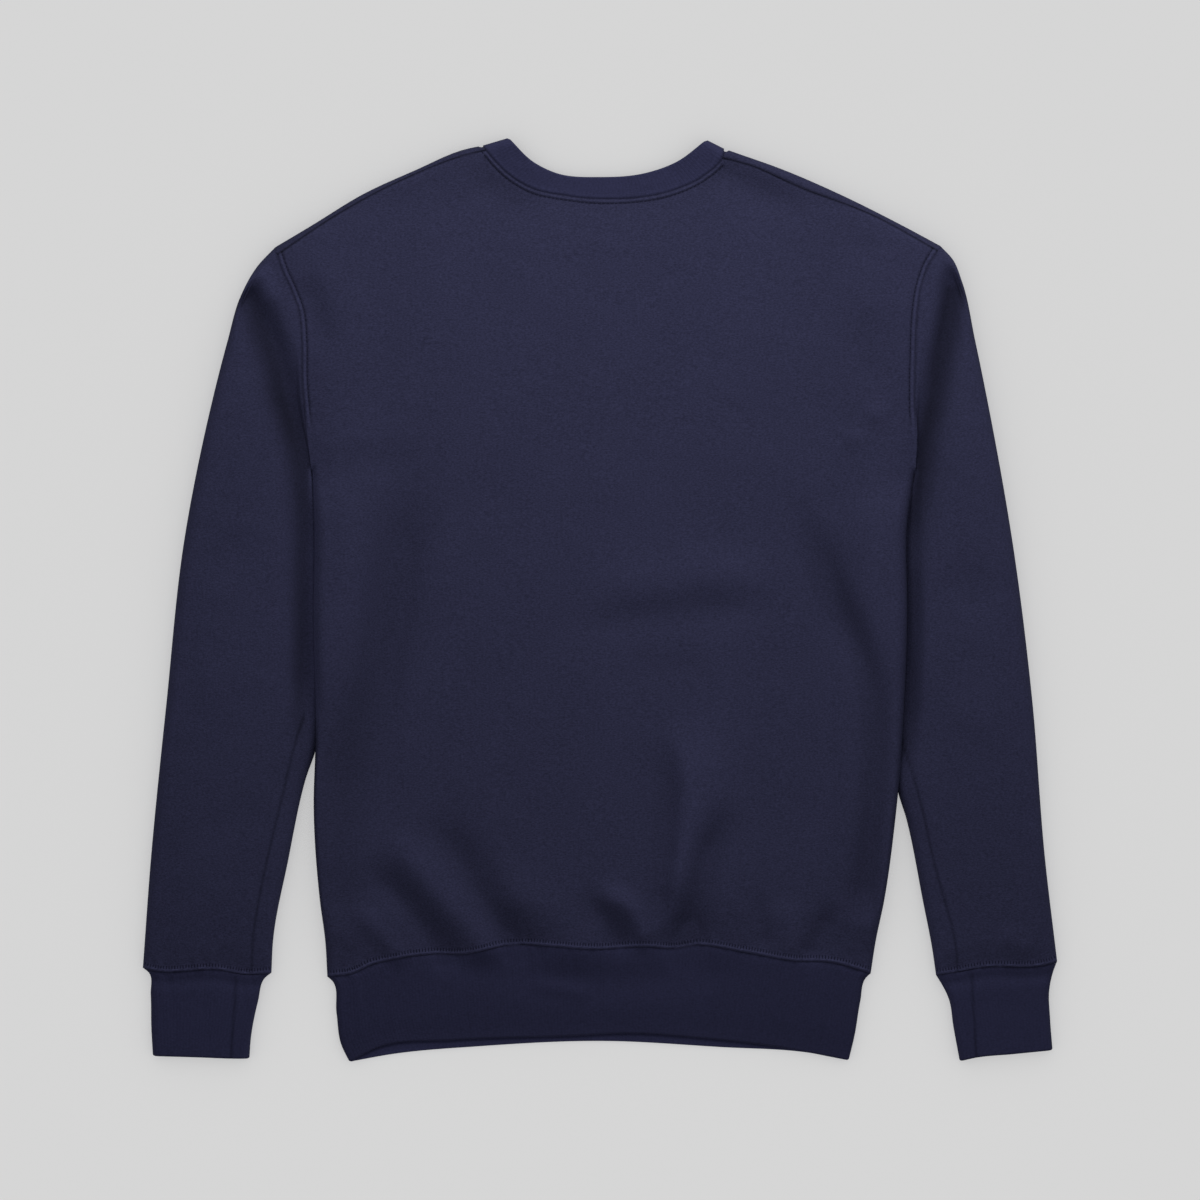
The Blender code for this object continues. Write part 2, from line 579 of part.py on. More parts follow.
def build_front(fleece):
    """The front, underneath; its shoulders wrap over the fold to the shoulder seams."""
    ends = np.array(ARMHOLE_UNDER[::-1])[1:]
    left, rows = body_edges("left", ends)
    right, _ = body_edges("right", ends)
    shoulder = np.array(FRONT_SHOULDER)
    neck_shares = front_neck_shares()
    across = columns_across(shoulder, neck_shares)
    edges, seams = [], []
    for half in ("left", "right"):
        plan = PLAN[half]
        reach = 1.0 - FOLD_COLUMN / length_of(plan["shoulder"])
        edges.append(along(plan["shoulder"], shoulder / NECK_START * reach))
        seams.append(along(plan["shoulder_seam"], shoulder / NECK_START))
        seams[-1][0] = along(plan["armhole"], np.array([FRONT_EDGE]))[0]
    top = np.vstack([edges[0], along(NECK_FRONT, neck_shares), edges[1][::-1]])
    hem = along(HEM, across)
    grid = patch(hem, top, left, right, across, rows)
    on_neck = slice(len(shoulder), len(shoulder) + len(neck_shares))
    last_rows = np.linspace(rows[-3], 1.0, 5)
    neck_edge = patch(hem, top, resample(left, rows, last_rows), resample(right, rows, last_rows),
                      across, last_rows)
    turned = [seam_row(edges, seams, part, len(neck_shares)) for part in (ARMHOLE_TOP[1] / FRONT_EDGE, 1.0)]
    grid = np.vstack([grid, np.array(turned)])
    grid[-5:, on_neck] = neck_edge[:, on_neck]
    first, last = len(shoulder), len(across) - len(shoulder)
    parts = (slice(0, first), slice(last, None))
    top_seams = [(np.s_[-1, columns], grid[-3, columns]) for columns in parts]
    top_seams.append((np.s_[-1, on_neck], neck_inside(grid[-1, on_neck])))
    moved, inwards = draw_in(grid, armholes_and_hem(grid) + top_seams)
    height, none = height_over(grid), np.zeros(grid.shape[:2])
    on_fold = ends_of_rows(grid)
    on_fold[len(ROWS_BELOW):-3] = False
    on_fold[-3:] = False
    on_fold[-3, :first] = on_fold[-3, last:] = True
    on_fold[-1, [first, last - 1]] = True
    side_gap = none.copy()
    side_gap[:len(ROWS_BELOW)] = SEAM_GAP / 2.0
    outer, inner = skins(moved, height, none, BODY_LINES, on_fold, inwards, FLEECE, -1, side_gap)
    over_outer, over_inner = skins(moved, height, lift_over(grid, BODY_FOLDS), BODY_LINES, on_fold,
                                   inwards, FLEECE, 1)
    for columns in parts:
        outer[-2:, columns], inner[-2:, columns] = over_outer[-2:, columns], over_inner[-2:, columns]
    return cloth("front", outer, inner, fleece, ring=False)


def resample(edge, rows, wanted):
    """An edge that is known at some row shares, at other ones."""
    return np.column_stack([np.interp(wanted, rows, edge[:, axis]) for axis in (0, 1)])


def seam_row(edges, seams, part, neck_count):
    """A row of the front's turned-over shoulders, `part` of the way from fold to seam."""
    left = edges[0] + part * (seams[0] - edges[0])
    right = edges[1] + part * (seams[1] - edges[1])
    return np.vstack([left, np.zeros((neck_count, 2)), right[::-1]])


def neck_inside(seam):
    """Points on the front's side of its neck seam: away from the middle of the neck."""
    middle = np.array((2.0, 330.0))
    return middle + 1.2 * (seam - middle)


def collar_half(seam_knots, edge_knots, shares):
    """Plan of half the collar: straight ribs from the neck seam to its free edge."""
    seam, edge = along(seam_knots, shares), along(edge_knots, shares)
    return np.array([seam + part * (edge - seam) for part in COLLAR_ROWS])


def build_collar(rib):
    """The collar, a ring of rib: its back lies on top, its front underneath."""
    start, end = neck_ends()
    back_shares = np.concatenate([[0.0], np.linspace(start, end, BACK_NECK_COLUMNS), [1.0]])
    top = collar_half(NECK_BACK, COLLAR_BACK, back_shares)
    under = collar_half(NECK_FRONT, COLLAR_FRONT, front_neck_shares())
    layers = [(grid, height_over(grid)) for grid in (top, under)]
    return tube("collar", layers, lift_over(top, BODY_FOLDS), BODY_LINES, RIB, rib)


def build_waistband(rib):
    """The waistband, a tube of rib below the hem seam, with an edge for each layer."""
    rows = np.array(BAND_ROWS)
    left = along(PLAN["left"]["band_side"], rows)
    right = along(PLAN["right"]["band_side"], rows)
    layers = []
    for across, end in (
        (columns_across(BACK_SHOULDER), BAND_END_BACK),
        (columns_across(FRONT_SHOULDER, front_neck_shares()), BAND_END_FRONT),
    ):
        grid = patch(along(HEM, across), along(end, across), left, right, across, rows)
        layers.append((grid, height_over(grid)))
    folded = [edge_line(PLAN[half]["band_side"]) for half in PLAN]
    return tube("waistband", layers, lift_over(layers[0][0], BODY_FOLDS), folded, RIB, rib)


def sleeve_grid(half, shares):
    """Plan of one layer of a sleeve: from the armhole to the cuff at the given ring shares."""
    plan = PLAN[half]
    outer = along(plan["sleeve_outer"], SLEEVE_ROWS["outer"])
    inner = along(sleeve_inner_edge(half), SLEEVE_ROWS["inner"])
    shares = np.array(shares)
    armhole, cuff = along(plan["armhole"], shares), along(plan["cuff_seam"], shares)
    near_armhole = 1.0 - ease(SLEEVE_ROWS["outer"] / 0.45)
    near_cuff = ease((SLEEVE_ROWS["outer"] - 0.55) / 0.45)
    return bowed(armhole, cuff, outer, inner, shares, near_armhole, near_cuff)


def sleeve_height(grid, shares):
    """Thickness of a sleeve: SLEEVE_HEIGHTS, eased to the body's own at the armhole."""
    rows = SLEEVE_ROWS["outer"]
    outer, crest, inner = (
        through(SLEEVE_HEIGHTS["share"], SLEEVE_HEIGHTS[name], rows) for name in ("outer", "crest", "inner"))
    knots = np.array([outer, crest, 0.9 * crest, inner])
    across = [through(SLEEVE_PLACES, knots[:, row], np.array(shares)) for row in range(len(rows))]
    own = np.array(across)
    from_armhole = np.hypot(*np.moveaxis(grid - grid[:1], -1, 0))
    body = body_height(grid[0])[None]
    return body + (own - body) * ease(from_armhole / ARMHOLE_BLEND)


def build_sleeve(half, fleece):
    """A sleeve, a tapering tube from the armhole to its cuff, flat beside the body."""
    layers = []
    for shares in (ARMHOLE_TOP, ARMHOLE_UNDER):
        grid = sleeve_grid(half, shares)
        layers.append((grid, sleeve_height(grid, shares)))
    top = layers[0][0]
    flat = top.reshape(-1, 2)
    along_sleeve = np.hypot(*np.moveaxis(top - top[:1], -1, 0))
    own = lift_over(top, SLEEVE_FOLDS[half]) * ease(along_sleeve / 25.0)
    lift = own + folds_at(flat, BODY_FOLDS).reshape(own.shape) * (1.0 - ease(along_sleeve / 60.0))
    folded = [outer_line(half), edge_line(sleeve_inner_edge(half))]
    return tube(half + "_sleeve", layers, lift, folded, FLEECE, fleece, last_is_seam=True)


def build_cuff(half, rib):
    """A cuff, a short tube of rib, a little narrower than the sleeve it gathers."""
    plan = PLAN[half]
    rows = np.array(CUFF_ROWS)
    outer, inner = along(plan["cuff_outer"], rows), along(plan["cuff_inner"], rows)
    thick = CUFF_HEIGHTS[0] + (CUFF_HEIGHTS[1] - CUFF_HEIGHTS[0]) * rows
    layers = []
    for shares in (np.array(ARMHOLE_TOP), np.array(ARMHOLE_UNDER)):
        grid = patch(along(plan["cuff_seam"], shares), along(plan["cuff_end"], shares), outer, inner,
                     shares, rows)
        layers.append((grid, np.repeat(thick[:, None], len(shares), axis=1)))
    folded = [edge_line(plan["cuff_outer"]), edge_line(plan["cuff_inner"])]
    return tube(half + "_cuff", layers, np.zeros(layers[0][1].shape), folded, RIB, rib)


def main():
    for old in list(bpy.data.objects):
        bpy.data.objects.remove(old, do_unlink=True)
    fleece = material("navy_fleece", FLEECE_COLOUR, 0.95)
    rib = material("navy_rib", RIB_COLOUR, 0.9)
    build_back(fleece)
    build_front(fleece)
    for half in ("left", "right"):
        build_sleeve(half, fleece)
        build_cuff(half, rib)
    build_waistband(rib)
    build_collar(rib)


main()
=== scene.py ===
"""Crewneck sweatshirt of brushed fleece, laid out flat with its back up: its visible pieces.

The forms are the garment's own: every piece of cloth is a wall between an outer and an inner
skin over a grid of plan points.  At each plan point the garment is `height` thick, and near a
folded edge it rounds off as a half circle, so the upper cloth rolls over into the lower one.
Folds, puckers, seam welts and stitch grooves raise or lower the upper cloth from that form.
Tables are in millimetres; cloth() turns them into metres.  +Z is up, +Y runs to the neck.
"""

import bpy
import numpy as np
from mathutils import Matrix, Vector


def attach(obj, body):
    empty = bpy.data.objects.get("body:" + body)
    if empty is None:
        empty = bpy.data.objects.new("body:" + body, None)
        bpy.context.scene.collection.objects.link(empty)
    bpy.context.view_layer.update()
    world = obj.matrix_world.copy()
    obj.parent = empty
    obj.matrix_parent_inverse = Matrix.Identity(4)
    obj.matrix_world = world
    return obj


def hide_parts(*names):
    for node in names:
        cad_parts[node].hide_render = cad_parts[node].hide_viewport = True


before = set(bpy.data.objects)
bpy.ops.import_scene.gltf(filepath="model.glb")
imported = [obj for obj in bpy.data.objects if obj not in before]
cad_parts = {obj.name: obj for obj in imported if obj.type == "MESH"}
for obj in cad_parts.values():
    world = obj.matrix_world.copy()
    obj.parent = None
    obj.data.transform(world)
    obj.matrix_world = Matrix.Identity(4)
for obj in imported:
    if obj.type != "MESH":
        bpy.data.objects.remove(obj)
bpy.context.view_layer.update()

MM = 0.001

# Cloth
FLEECE = 2.4                # wall of the front, the back and the sleeves
RIB = 3.0                   # wall of the collar, the cuffs and the waistband, folded double
SEAM_LAP = 0.16             # two pieces press this far into each other where they are sewn
LEAST_HOLLOW = 0.6          # space that a fold leaves between the upper and the lower cloth
HEM_HEIGHT = 10.0           # thickness of the garment at the waistband's seam
BAND_END = 8.0              # and at the waistband's free edge
CUFF_HEIGHTS = (12.0, 11.0)     # thickness at a cuff's seam and at its free edge
COLLAR_WIDTH, BAND_WIDTH, CUFF_LENGTH = 17.0, 66.0, 68.0    # from each rib's seam to its free edge
LEAST_SPACING = 0.12        # share of its wall that a rib keeps at its rounded free edge
BAND_BLEND = 60.0           # over this length below the seam the waistband thins
BAND_DROOP = (0.66, 1.3)    # from this share of its rows its upper layer droops, by this much
HEM_BLEND = 38.0            # over this length above the seam the body blouses out
ARMHOLE_BLEND = 42.0        # over this length a sleeve takes on its own thickness
ARMHOLE_HIDDEN = 122.0      # below this y the armhole seam turns under the body's side
ARMHOLE_SHOWS = 28.0        # and over this length above it the seam comes into view
BODY_FOLDS_REACH = 60.0     # the body's folds run this far into a sleeve
# A sleeve's own folds come up over the length `low` from the armhole, and over `more` beyond that
# on the shoulder; the change starts at the y `starts` and takes the distance `over`
FOLDS_COME_UP = {"low": 2.5, "more": 5.5, "starts": 105.0, "over": 50.0}

# Stitches
STITCH_WIDTH = 0.6
LADDER_PITCH = 2.2          # between the overlock stitches across the hem and the cuff seams
LADDER = (2.5, 5.3)         # and how far from the seam each starts and ends
ROW_PITCH = 3.2             # between the cover stitches along the neck and the armholes
ROW_SHARE = 0.72            # of that pitch is thread, and the rest is the gap to the next one
ROW_OFFSET = {"neck": 3.2, "armhole": 4.0}      # of the row of cover stitches from its seam
ROW_STARTS = 18.0           # the armhole's row starts this far above ARMHOLE_HIDDEN

# Colours and tones
FLEECE_COLOUR = (0.0250, 0.0259, 0.0575, 1.0)
RIB_COLOUR = (0.0218, 0.0227, 0.0550, 1.0)
THREAD_COLOUR = (0.0100, 0.0104, 0.0250, 1.0)
FLOOR_COLOUR = (0.80, 0.80, 0.80, 1.0)
TONE_STEP = 0.42            # change of the yarn's shade for each unit of tone, which is mostly painted light and shade
DARKEST = 0.25              # and the least shade
FOLD_PAINTED_SHADING = 0.048         # painted shade in a fold's trough and painted highlight on its ridge: tone for each millimetre of its rise
TURNED_TONE = {"shoulder": -0.35, "seam": -1.5}     # a darker strip where the front turns over the shoulders, and painted shade along their seams
BAND_TONE = -0.2            # of the waistband
BAND_LIP_PAINTED_LIGHT = (1.4, 0.84, 0.07)    # painted light on its lower layer, in the shadow of the upper layer's edge: how much, from which share, over which

# Light and view, in metres
SKY = 0.33                  # strength of the even light from all round
FLOOR_SUN = 1.60            # a lamp that lights the floor alone
# Soft lamps for the cloth: place, size, power in watts and the point that each one faces
SOFTBOXES = {
    "key": ((0.24, 1.06, 0.60), (1.2, 0.4), 9.6, (0.0, 0.1, 0.0)),
    "overhead": ((0.02, 0.24, 0.74), (1.0, 0.34), 2.2, (0.02, 0.24, 0.0)),
}
FLOOR_REACH, FLOOR_DROP = 30.0, 0.0004
CAMERA_HEIGHT, VIEW_WIDTH = 5.6, 0.925
SENSOR = 36.0               # width in millimetres


def table(columns, *rows):
    """A short table as a dictionary of arrays, one for each named column."""
    return dict(zip(columns.split(), np.array(rows, float).T))


# Plan of the left and the right half, as knots (x, y) of smooth curves
PLAN = {
    "left": {
        # fold of the shoulder, from the top of the armhole to the collar
        "shoulder": ((-250, 271.5), (-222.4, 288), (-182.3, 312.5), (-142, 331), (-104, 347), (-90, 350)),
        # shoulder seam, on the back a little below that fold
        "shoulder_seam": ((-247.6, 266), (-203, 296.2), (-151, 324), (-107, 341.5), (-87.8, 346.5)),
        "collar_tip": (-70.5, 355.8),
        # armhole seam, from the shoulder fold to the underarm
        "armhole": ((-250, 271.5), (-244, 253), (-236.7, 236.6), (-231.5, 222), (-229.3, 200), (-229, 170),
                    (-226, 135), (-222, 100)),
        # side of the body, from the underarm to the waistband
        "side": ((-222, 100), (-220.3, 60), (-220.8, -20), (-218.8, -105), (-220.3, -160), (-215.5, -232),
                 (-211.6, -262), (-210, -290)),
        "sleeve_outer": ((-250, 271.5), (-264, 256.5), (-277, 233), (-286.5, 200), (-302, 138), (-320, 46),
                         (-333.5, -77), (-345.8, -200), (-352, -283)),
        # inner edge of the sleeve below the place where it comes out from beside the body
        "sleeve_inner": ((-227, -139), (-240.2, -201), (-251.7, -262.5), (-253, -287)),
        "sleeve_leaves_side": -108,
        "cuff_seam": ((-352, -283), (-345, -285), (-293, -285), (-271.6, -288.5), (-253, -287)),
        "cuff_outer": ((-352, -283), (-347.3, -287), (-346, -304), (-345.5, -330), (-344.3, -351)),
        "cuff_inner": ((-253, -287), (-258, -291), (-263.3, -309), (-268.7, -336.5), (-270, -353)),
        "cuff_end": ((-344.3, -351), (-310, -352), (-281, -353), (-270, -353)),
        "band_side": ((-210, -290), (-206.5, -293), (-203, -318), (-199.5, -342), (-193, -355.8)),
    },
    "right": {
        "shoulder": ((262, 272.5), (231.7, 288.8), (185.4, 312), (139.2, 332), (104, 344.5), (95.5, 347.5)),
        "shoulder_seam": ((260, 268.5), (208.6, 296.7), (154.6, 317.3), (114.5, 335), (94.3, 340.5)),
        "collar_tip": (82.1, 354.3),
        "armhole": ((262, 272.5), (252, 256), (246.7, 240), (243.8, 220), (242.4, 187), (242, 150),
                    (243.4, 122), (242, 98)),
        "side": ((242, 98), (236.5, 60), (236.6, -10), (233, -100), (227, -170), (218.6, -232),
                 (212.4, -262), (208.5, -287.5)),
        "sleeve_outer": ((262, 272.5), (272, 261.5), (278.7, 245), (288.7, 200), (301.2, 138), (317.3, 46),
                         (332.7, -77), (342.7, -200), (352, -278)),
        "sleeve_inner": ((236.3, -170), (248.6, -231.7), (256, -270), (258.7, -288.7)),
        "sleeve_leaves_side": -141,
        "cuff_seam": ((352, -278), (344, -280.6), (295, -283), (272, -287), (258.7, -288.7)),
        "cuff_outer": ((352, -278), (349, -286), (346, -300), (346.6, -322), (348.5, -346.5)),
        "cuff_inner": ((258.7, -288.7), (262, -294), (268.5, -307), (272, -328), (277, -355)),
        "cuff_end": ((348.5, -346.5), (318, -349.5), (288, -352.5), (277, -355)),
        "band_side": ((208.5, -287.5), (204.8, -291), (200.5, -309), (196, -336), (191.5, -354.5)),
    },
}

# Neck and hem curves, from the left to the right
NECK_BACK = ((-90, 350), (-87.8, 346.5), (-76.8, 333.2), (-53.7, 317.3), (-25.7, 311), (16.6, 308.8),
             (54.9, 314.7), (80.5, 326.8), (94.3, 340.5), (95.5, 347.5))
COLLAR_BACK = ((-70.5, 355.8), (-51.3, 337.3), (-33.5, 328.7), (0, 325.7), (35.1, 328.8), (59, 337.3),
               (82.1, 354.3))
NECK_FRONT = ((-90, 350), (-88, 335), (-82, 310), (-70, 285), (-50, 264), (-25, 252), (0, 248.5),
              (27, 251.5), (52, 262), (72, 281), (85, 306), (92, 330), (95.5, 347.5))
COLLAR_FRONT = ((-70.5, 355.8), (-69, 335), (-63, 312), (-53, 293), (-37, 278), (-18, 270), (0, 268),
                (20, 270), (40, 277.5), (57, 292), (68, 311), (76, 333), (82.1, 354.3))
HEM = ((-210, -290), (-190, -287.5), (-176, -281), (-160, -277), (-133, -273), (-106, -273), (-73, -266.5),
       (0, -269), (40, -267.3), (54, -268.8), (75, -266), (110, -271), (150, -278), (178, -279),
       (208.5, -287.5))
BAND_END_BACK = ((-193, -355.8), (-171, -344.7), (-112, -338.9), (-24, -335.8), (27, -333.8), (74, -337),
                 (133, -343.6), (191.5, -354.5))
BAND_END_FRONT = ((-193, -355.8), (-161.5, -350.1), (-92, -343.8), (0, -339.8), (93, -344.5), (162, -349),
                  (191.5, -354.5))

# Thickness of the body, a row for each height on it and a column for each place from its side
# to its middle; the other side has the same
BODY_HEIGHTS = table(
    "y edge roll hollow middle",
    (-300, 12, 13, 13, 13), (-262, 15, 14, 12, 14), (-225, 19, 18, 12, 15),
    (-150, 22, 22, 10.5, 13.5), (-50, 22, 22, 10.5, 13), (60, 19, 21, 11, 12.5),
    (98, 11, 16, 12, 12.5), (135, 13.5, 16, 12.5, 12), (200, 16.5, 18, 13.5, 11.5),
    (270, 17, 17, 13, 10), (309, 14, 13, 11, 7.5), (356, 13, 13, 13, 8),
)
BODY_PLACES = (0.0, 0.05, 0.14, 0.5, 0.86, 0.95, 1.0)   # share of the width at each column

# Thickness of a sleeve at its outer edge, crest and inner edge, a row for each section
SLEEVE_HEIGHTS = table(
    "share outer crest inner",
    (0.00, 15, 17, 11),
    (0.20, 18, 22, 7),
    (0.55, 17.5, 21, 6.8),
    (0.72, 16, 19, 10),
    (0.88, 14.5, 17, 13),
    (0.96, 13, 15, 13),
    (1.00, 12, 12, 12),
)
SLEEVE_PLACES = (0.0, 0.35, 0.82, 1.0)   # outer edge, crest, end of the crest, inner edge

# Folds of the upper cloth: rise (a trough's is negative), half width, the shares of its length
# over which it comes up from nothing and fades again, and its path as (x, y) knots
BODY_FOLDS = (
    (-5.5, (11, 5), (0.35, 0), ((-180, -198), (-162, -222), (-149, -235), (-139, -247), (-130, -260),
                               (-123, -272))),
    (-6.0, (13, 6), (0.4, 0), ((-140, -162), (-114, -192), (-101, -212), (-89, -232), (-78, -249),
                              (-68, -265))),
    (-3.4, (8, 8), (0.5, 0), ((-24, -232), (-4, -237), (8, -246), (17, -259))),
    (-4.2, (7, 7), (0.65, 0.15), ((42, -95), (49, -135), (51, -180), (49, -215), (45, -252))),
    (-8.0, (9, 9), (0.4, 0), ((104, -150), (93, -174), (84, -196), (77, -220), (70, -245), (65, -268))),
    (-2.6, (9, 9), (0.35, 0.35), ((-34, -22), (20, -15), (90, -7), (150, -9))),
    (-1.5, (9, 9), (0.4, 0.4), ((10, -48), (50, -52), (92, -58))),
    (-8.0, (14, 14), (0.4, 0.3), ((-136, 135), (-149, 65), (-160, 7), (-171, -47), (-183, -93), (-192, -147),
                                  (-192, -211))),
    (-8.0, (9, 8), (0.3, 0.1), ((125, 88), (152, 63), (167, 38), (178, 6), (192, -22), (204, -50), (210, -80),
                                (211, -120), (209, -170), (205, -216), (201, -255))),
    (-4.0, (18, 18), (0.4, 0.2), ((-196, -60), (-199, -130), (-197, -200), (-190, -262))),
    (-3.0, (9, 9), (0.15, 0.5), ((86, 334), (116, 316), (165, 294))),
    (-2.4, (10, 10), (0.3, 0.5), ((-102, 332), (-76, 313), (-36, 297))),
    (-2.0, (10, 10), (0.3, 0.4), ((-220, 98), (-177, 106), (-125, 110))),
    (-3.5, (9, 9), (0.3, 0.4), ((-230, 252), (-217, 219), (-206, 182))),
    (-2.5, (12, 12), (0.4, 0.4), ((207, 230), (205, 155))),
    (-2.0, (4, 4), (0.5, 0), ((119, -220), (127, -262))),
    (-3.5, (6, 6), (0.5, 0), ((181, -230), (163, -268))),
    (-2.0, (9, 9), (0.2, 0.2), ((-131, -279.5), (-61, -289.5), (0, -293), (62, -289.5), (124, -284))),
    (3.0, (6, 6), (0.4, 0), ((-192, -230), (-170, -255), (-155, -271))),
    (4.5, (9, 9), (0.4, 0), ((-172, -166), (-144, -203), (-124, -228), (-106, -248), (-92, -264))),
    (3.0, (13, 13), (0.5, 0), ((-92, -190), (-62, -228), (-36, -250), (-18, -264))),
    (5.5, (7, 7), (0.4, 0), ((-8, -223), (13, -231), (25, -241), (32, -256))),
    (7.5, (8, 22), (0.3, 0.3), ((52, -84), (66, -122), (69, -155), (63, -190), (58, -225), (55, -262))),
    (3.2, (13, 13), (0.35, 0.35), ((-30, 3), (30, 12), (70, 18), (110, 21), (162, 14))),
    (1.8, (6, 6), (0.4, 0.4), ((201, 148), (224, 138))),
    (1.8, (6, 6), (0.4, 0.4), ((185, 131), (206, 116))),
    (2.5, (9, 9), (0.5, 0), ((139, -226), (148, -262))),
    (1.5, (4, 4), (0.3, 0.3), ((-58, -295), (-2, -304))),
)
SLEEVE_FOLDS = {
    "left": (
        (-11.0, (7, 10), (0.08, 0.6), (
            (-274, 250), (-268.5, 236), (-261, 220), (-252.5, 200), (-246, 179), (-241, 153),
            (-236.5, 128), (-233.5, 100), (-231, 76))),
        (-7.5, (5, 7), (0.35, 0.2), (
            (-240, 150), (-236.5, 128), (-233, 100), (-231, 76), (-230, 40), (-230, 0), (-229, -50),
            (-228, -105))),
        (-2.0, (12, 12), (0.4, 0.4), ((-262, 60), (-290, 30), (-318, 22))),
        (1.6, (14, 14), (0.4, 0.4), ((-258, -40), (-290, -62), (-322, -66))),
        (-1.6, (9, 9), (0.4, 0.4), ((-255, -150), (-285, -172), (-325, -178)))),
    "right": (
        (-11.0, (6, 8), (0.09, 0.6), (
            (272.5, 262), (270.5, 238), (266.5, 213), (261.5, 190), (257, 164), (252.5, 140), (249.5, 118),
            (248, 95), (246, 69))),
        (-4.5, (4.5, 5), (0.35, 0.2), (
            (254, 150), (250, 120), (247, 95), (244, 69), (243.5, 40), (243, 0), (241, -50), (238, -100),
            (235, -138))),
        (-2.0, (12, 12), (0.4, 0.4), ((262, 30), (288, 6), (318, 2))),
        (1.6, (14, 14), (0.4, 0.4), ((262, -70), (290, -88), (325, -90))),
        (1.5, (6, 6), (0.3, 0.3), ((305, -257), (336, -271)))),
}

# Painted shade in the crease beside the body, and a painted highlight on each sleeve head, as rows of the
# same kind whose rise is one of tone
SLEEVE_SHADES = {
    "left": (
        (-1.25, (5, 9.5), (0.07, 0.5), (
            (-271, 244), (-265, 225), (-260.5, 210), (-255, 195), (-250, 180), (-246, 160), (-241, 140),
            (-238, 125), (-236, 110))),
        (-1.2, (8, 7.5), (0.4, 0.5), (
            (-250, 180), (-246, 160), (-240, 140), (-234.5, 120), (-230.5, 100), (-228.5, 80), (-228, 60),
            (-228, 30))),
        (-0.75, (4, 5), (0.3, 0.1), (
            (-229, 100), (-229, 60), (-229.5, 20), (-230, -30), (-231, -60), (-231, -90), (-229, -115))),
        (1.0, (6, 6), (0.3, 0.4), ((-267, 257), (-259, 246), (-250, 226)))),
    "right": (
        (-1.3, (4, 9), (0.07, 0.5), (
            (272, 248), (269, 232), (265, 210), (262, 195), (259, 180), (256, 160), (252.5, 140),
            (250.5, 125), (250, 110))),
        (-1.15, (7, 8), (0.4, 0.5), (
            (259, 180), (256, 160), (252.5, 140), (250, 120), (248.5, 100), (246, 80), (244.5, 60),
            (243, 30))),
        (-0.6, (2.6, 4.5), (0.2, 0.1), (
            (244, 100), (240.5, 75), (239, 50), (238.8, 0), (237.4, -50), (235, -105), (234, -135))),
        (0.5, (6, 6), (0.3, 0.4), ((270, 258), (262, 244)))),
}
CREVICE_PAINTED_LIGHT = {"left": 1.6, "right": 0.0}   # painted light on the two edges where a sleeve lies against the body, that lightens the shadow of the crevice between them
CREVICE_WIDTH, CREVICE_FADE = 1.6, 20.0      # half width, and the length over which it ends

# The seam that closes each sleeve and each cuff, where it shows on top
UNDERARM_SEAM = {
    "left": ((-226.6, -86.7), (-232.8, -105.2), (-243.2, -146.9), (-262.5, -231.7), (-267.1, -261),
             (-268.1, -285)),
    "right": ((232.1, -107.6), (239.4, -130.7), (245.6, -153), (260.5, -216.3), (265.5, -233),
              (269.9, -248.6), (273.3, -264.5), (275.2, -285)),
}
CUFF_SEAM = {
    "left": ((-280, -290), (-281, -309), (-283.3, -340), (-284, -354)),
    "right": ((286, -288), (287, -309), (288.5, -333), (289.5, -353)),
}

# Where the grids have their lines
FRONT_EDGE = 0.034         # share of the armhole at which the shoulder seam meets it
UNDERARM = 0.69            # share of the body's rows that lie below the underarm
NECK_START, NECK_END = 0.30, 0.70      # shares of the columns between which the neck lies
FOLD_COLUMN = 4.0          # the front's last shoulder column ends this far from the collar
ROWS_BELOW = (0, 4, 10, 18, 28, 41, 57, 76, 100, 130, 165, 205, 245, 285, 320, 350, 374, 389)
ARMHOLE_TOP = (0, 0.008, FRONT_EDGE, 0.06, 0.1, 0.17, 0.26, 0.36, 0.47, 0.58, 0.69, 0.79, 0.83, 0.87,
               0.91, 0.95, 0.992, 1)
ARMHOLE_UNDER = (0, 0.008, FRONT_EDGE, 0.12, 0.26, 0.42, 0.58, 0.74, 0.88, 0.95, 0.992, 1)
EDGE_COLUMNS = (0, 0.0023, 0.0088, 0.0182, 0.032)      # around the roll of a side fold
SHOULDER = EDGE_COLUMNS + (0.052, 0.078, 0.11, 0.148, 0.188, 0.228, 0.265, NECK_START)
BACK_NECK_COLUMNS = 17
NECK_PAST_FOLD = 0.97      # the front's neck columns take up this share of the neck's
# The sleeve's rows as shares of its outer and its inner edge: they fan out round the underarm
SLEEVE_ROWS = table(
    "outer inner",
    (0, 0), (0.035, 0.006), (0.08, 0.014), (0.13, 0.024), (0.18, 0.036), (0.235, 0.052), (0.29, 0.075),
    (0.35, 0.115), (0.42, 0.18), (0.5, 0.29), (0.58, 0.405), (0.66, 0.52), (0.74, 0.64), (0.82, 0.755),
    (0.89, 0.855), (0.94, 0.925), (0.978, 0.972), (1, 1),
)
CUFF_ROWS = (0, 0.06, 0.3, 0.62, 1)
BAND_ROWS = (0, 0.05, 0.3, 0.62, 1)
COLLAR_ROWS = (0, 0.3, 0.65, 1)
END_ROWS = (1.5, 1.1, 0.75, 0.45, 0.2, 0.06, 0)    # distances to a free edge, in its rounding
FOLD_POINTS = 90           # points on the line that distances to a folded edge are taken from
FOLD_PATH_POINTS = 24      # and on the path of a soft fold
BY_FOLD = 0.1              # a point off the fold counts as at least this far from it
PAST_FOLD = 1.0            # and up to this far outside the fold it counts as within it
NECK_BY_FOLD = (0, 1.6, 6, 16)      # columns of the front's neck, as distances from each fold
NECK_MIDDLE = (2.0, 330.0)
TUCK_BELOW = (0, 12, 35, 80)        # distance below the underarm, and there the sleeve's
TUCK = (0.0, 0.4, 0.9, 1.6)         # inner edge lies this far inside the side of the body
WAVES = 20                 # sine waves whose sum makes an uneven face
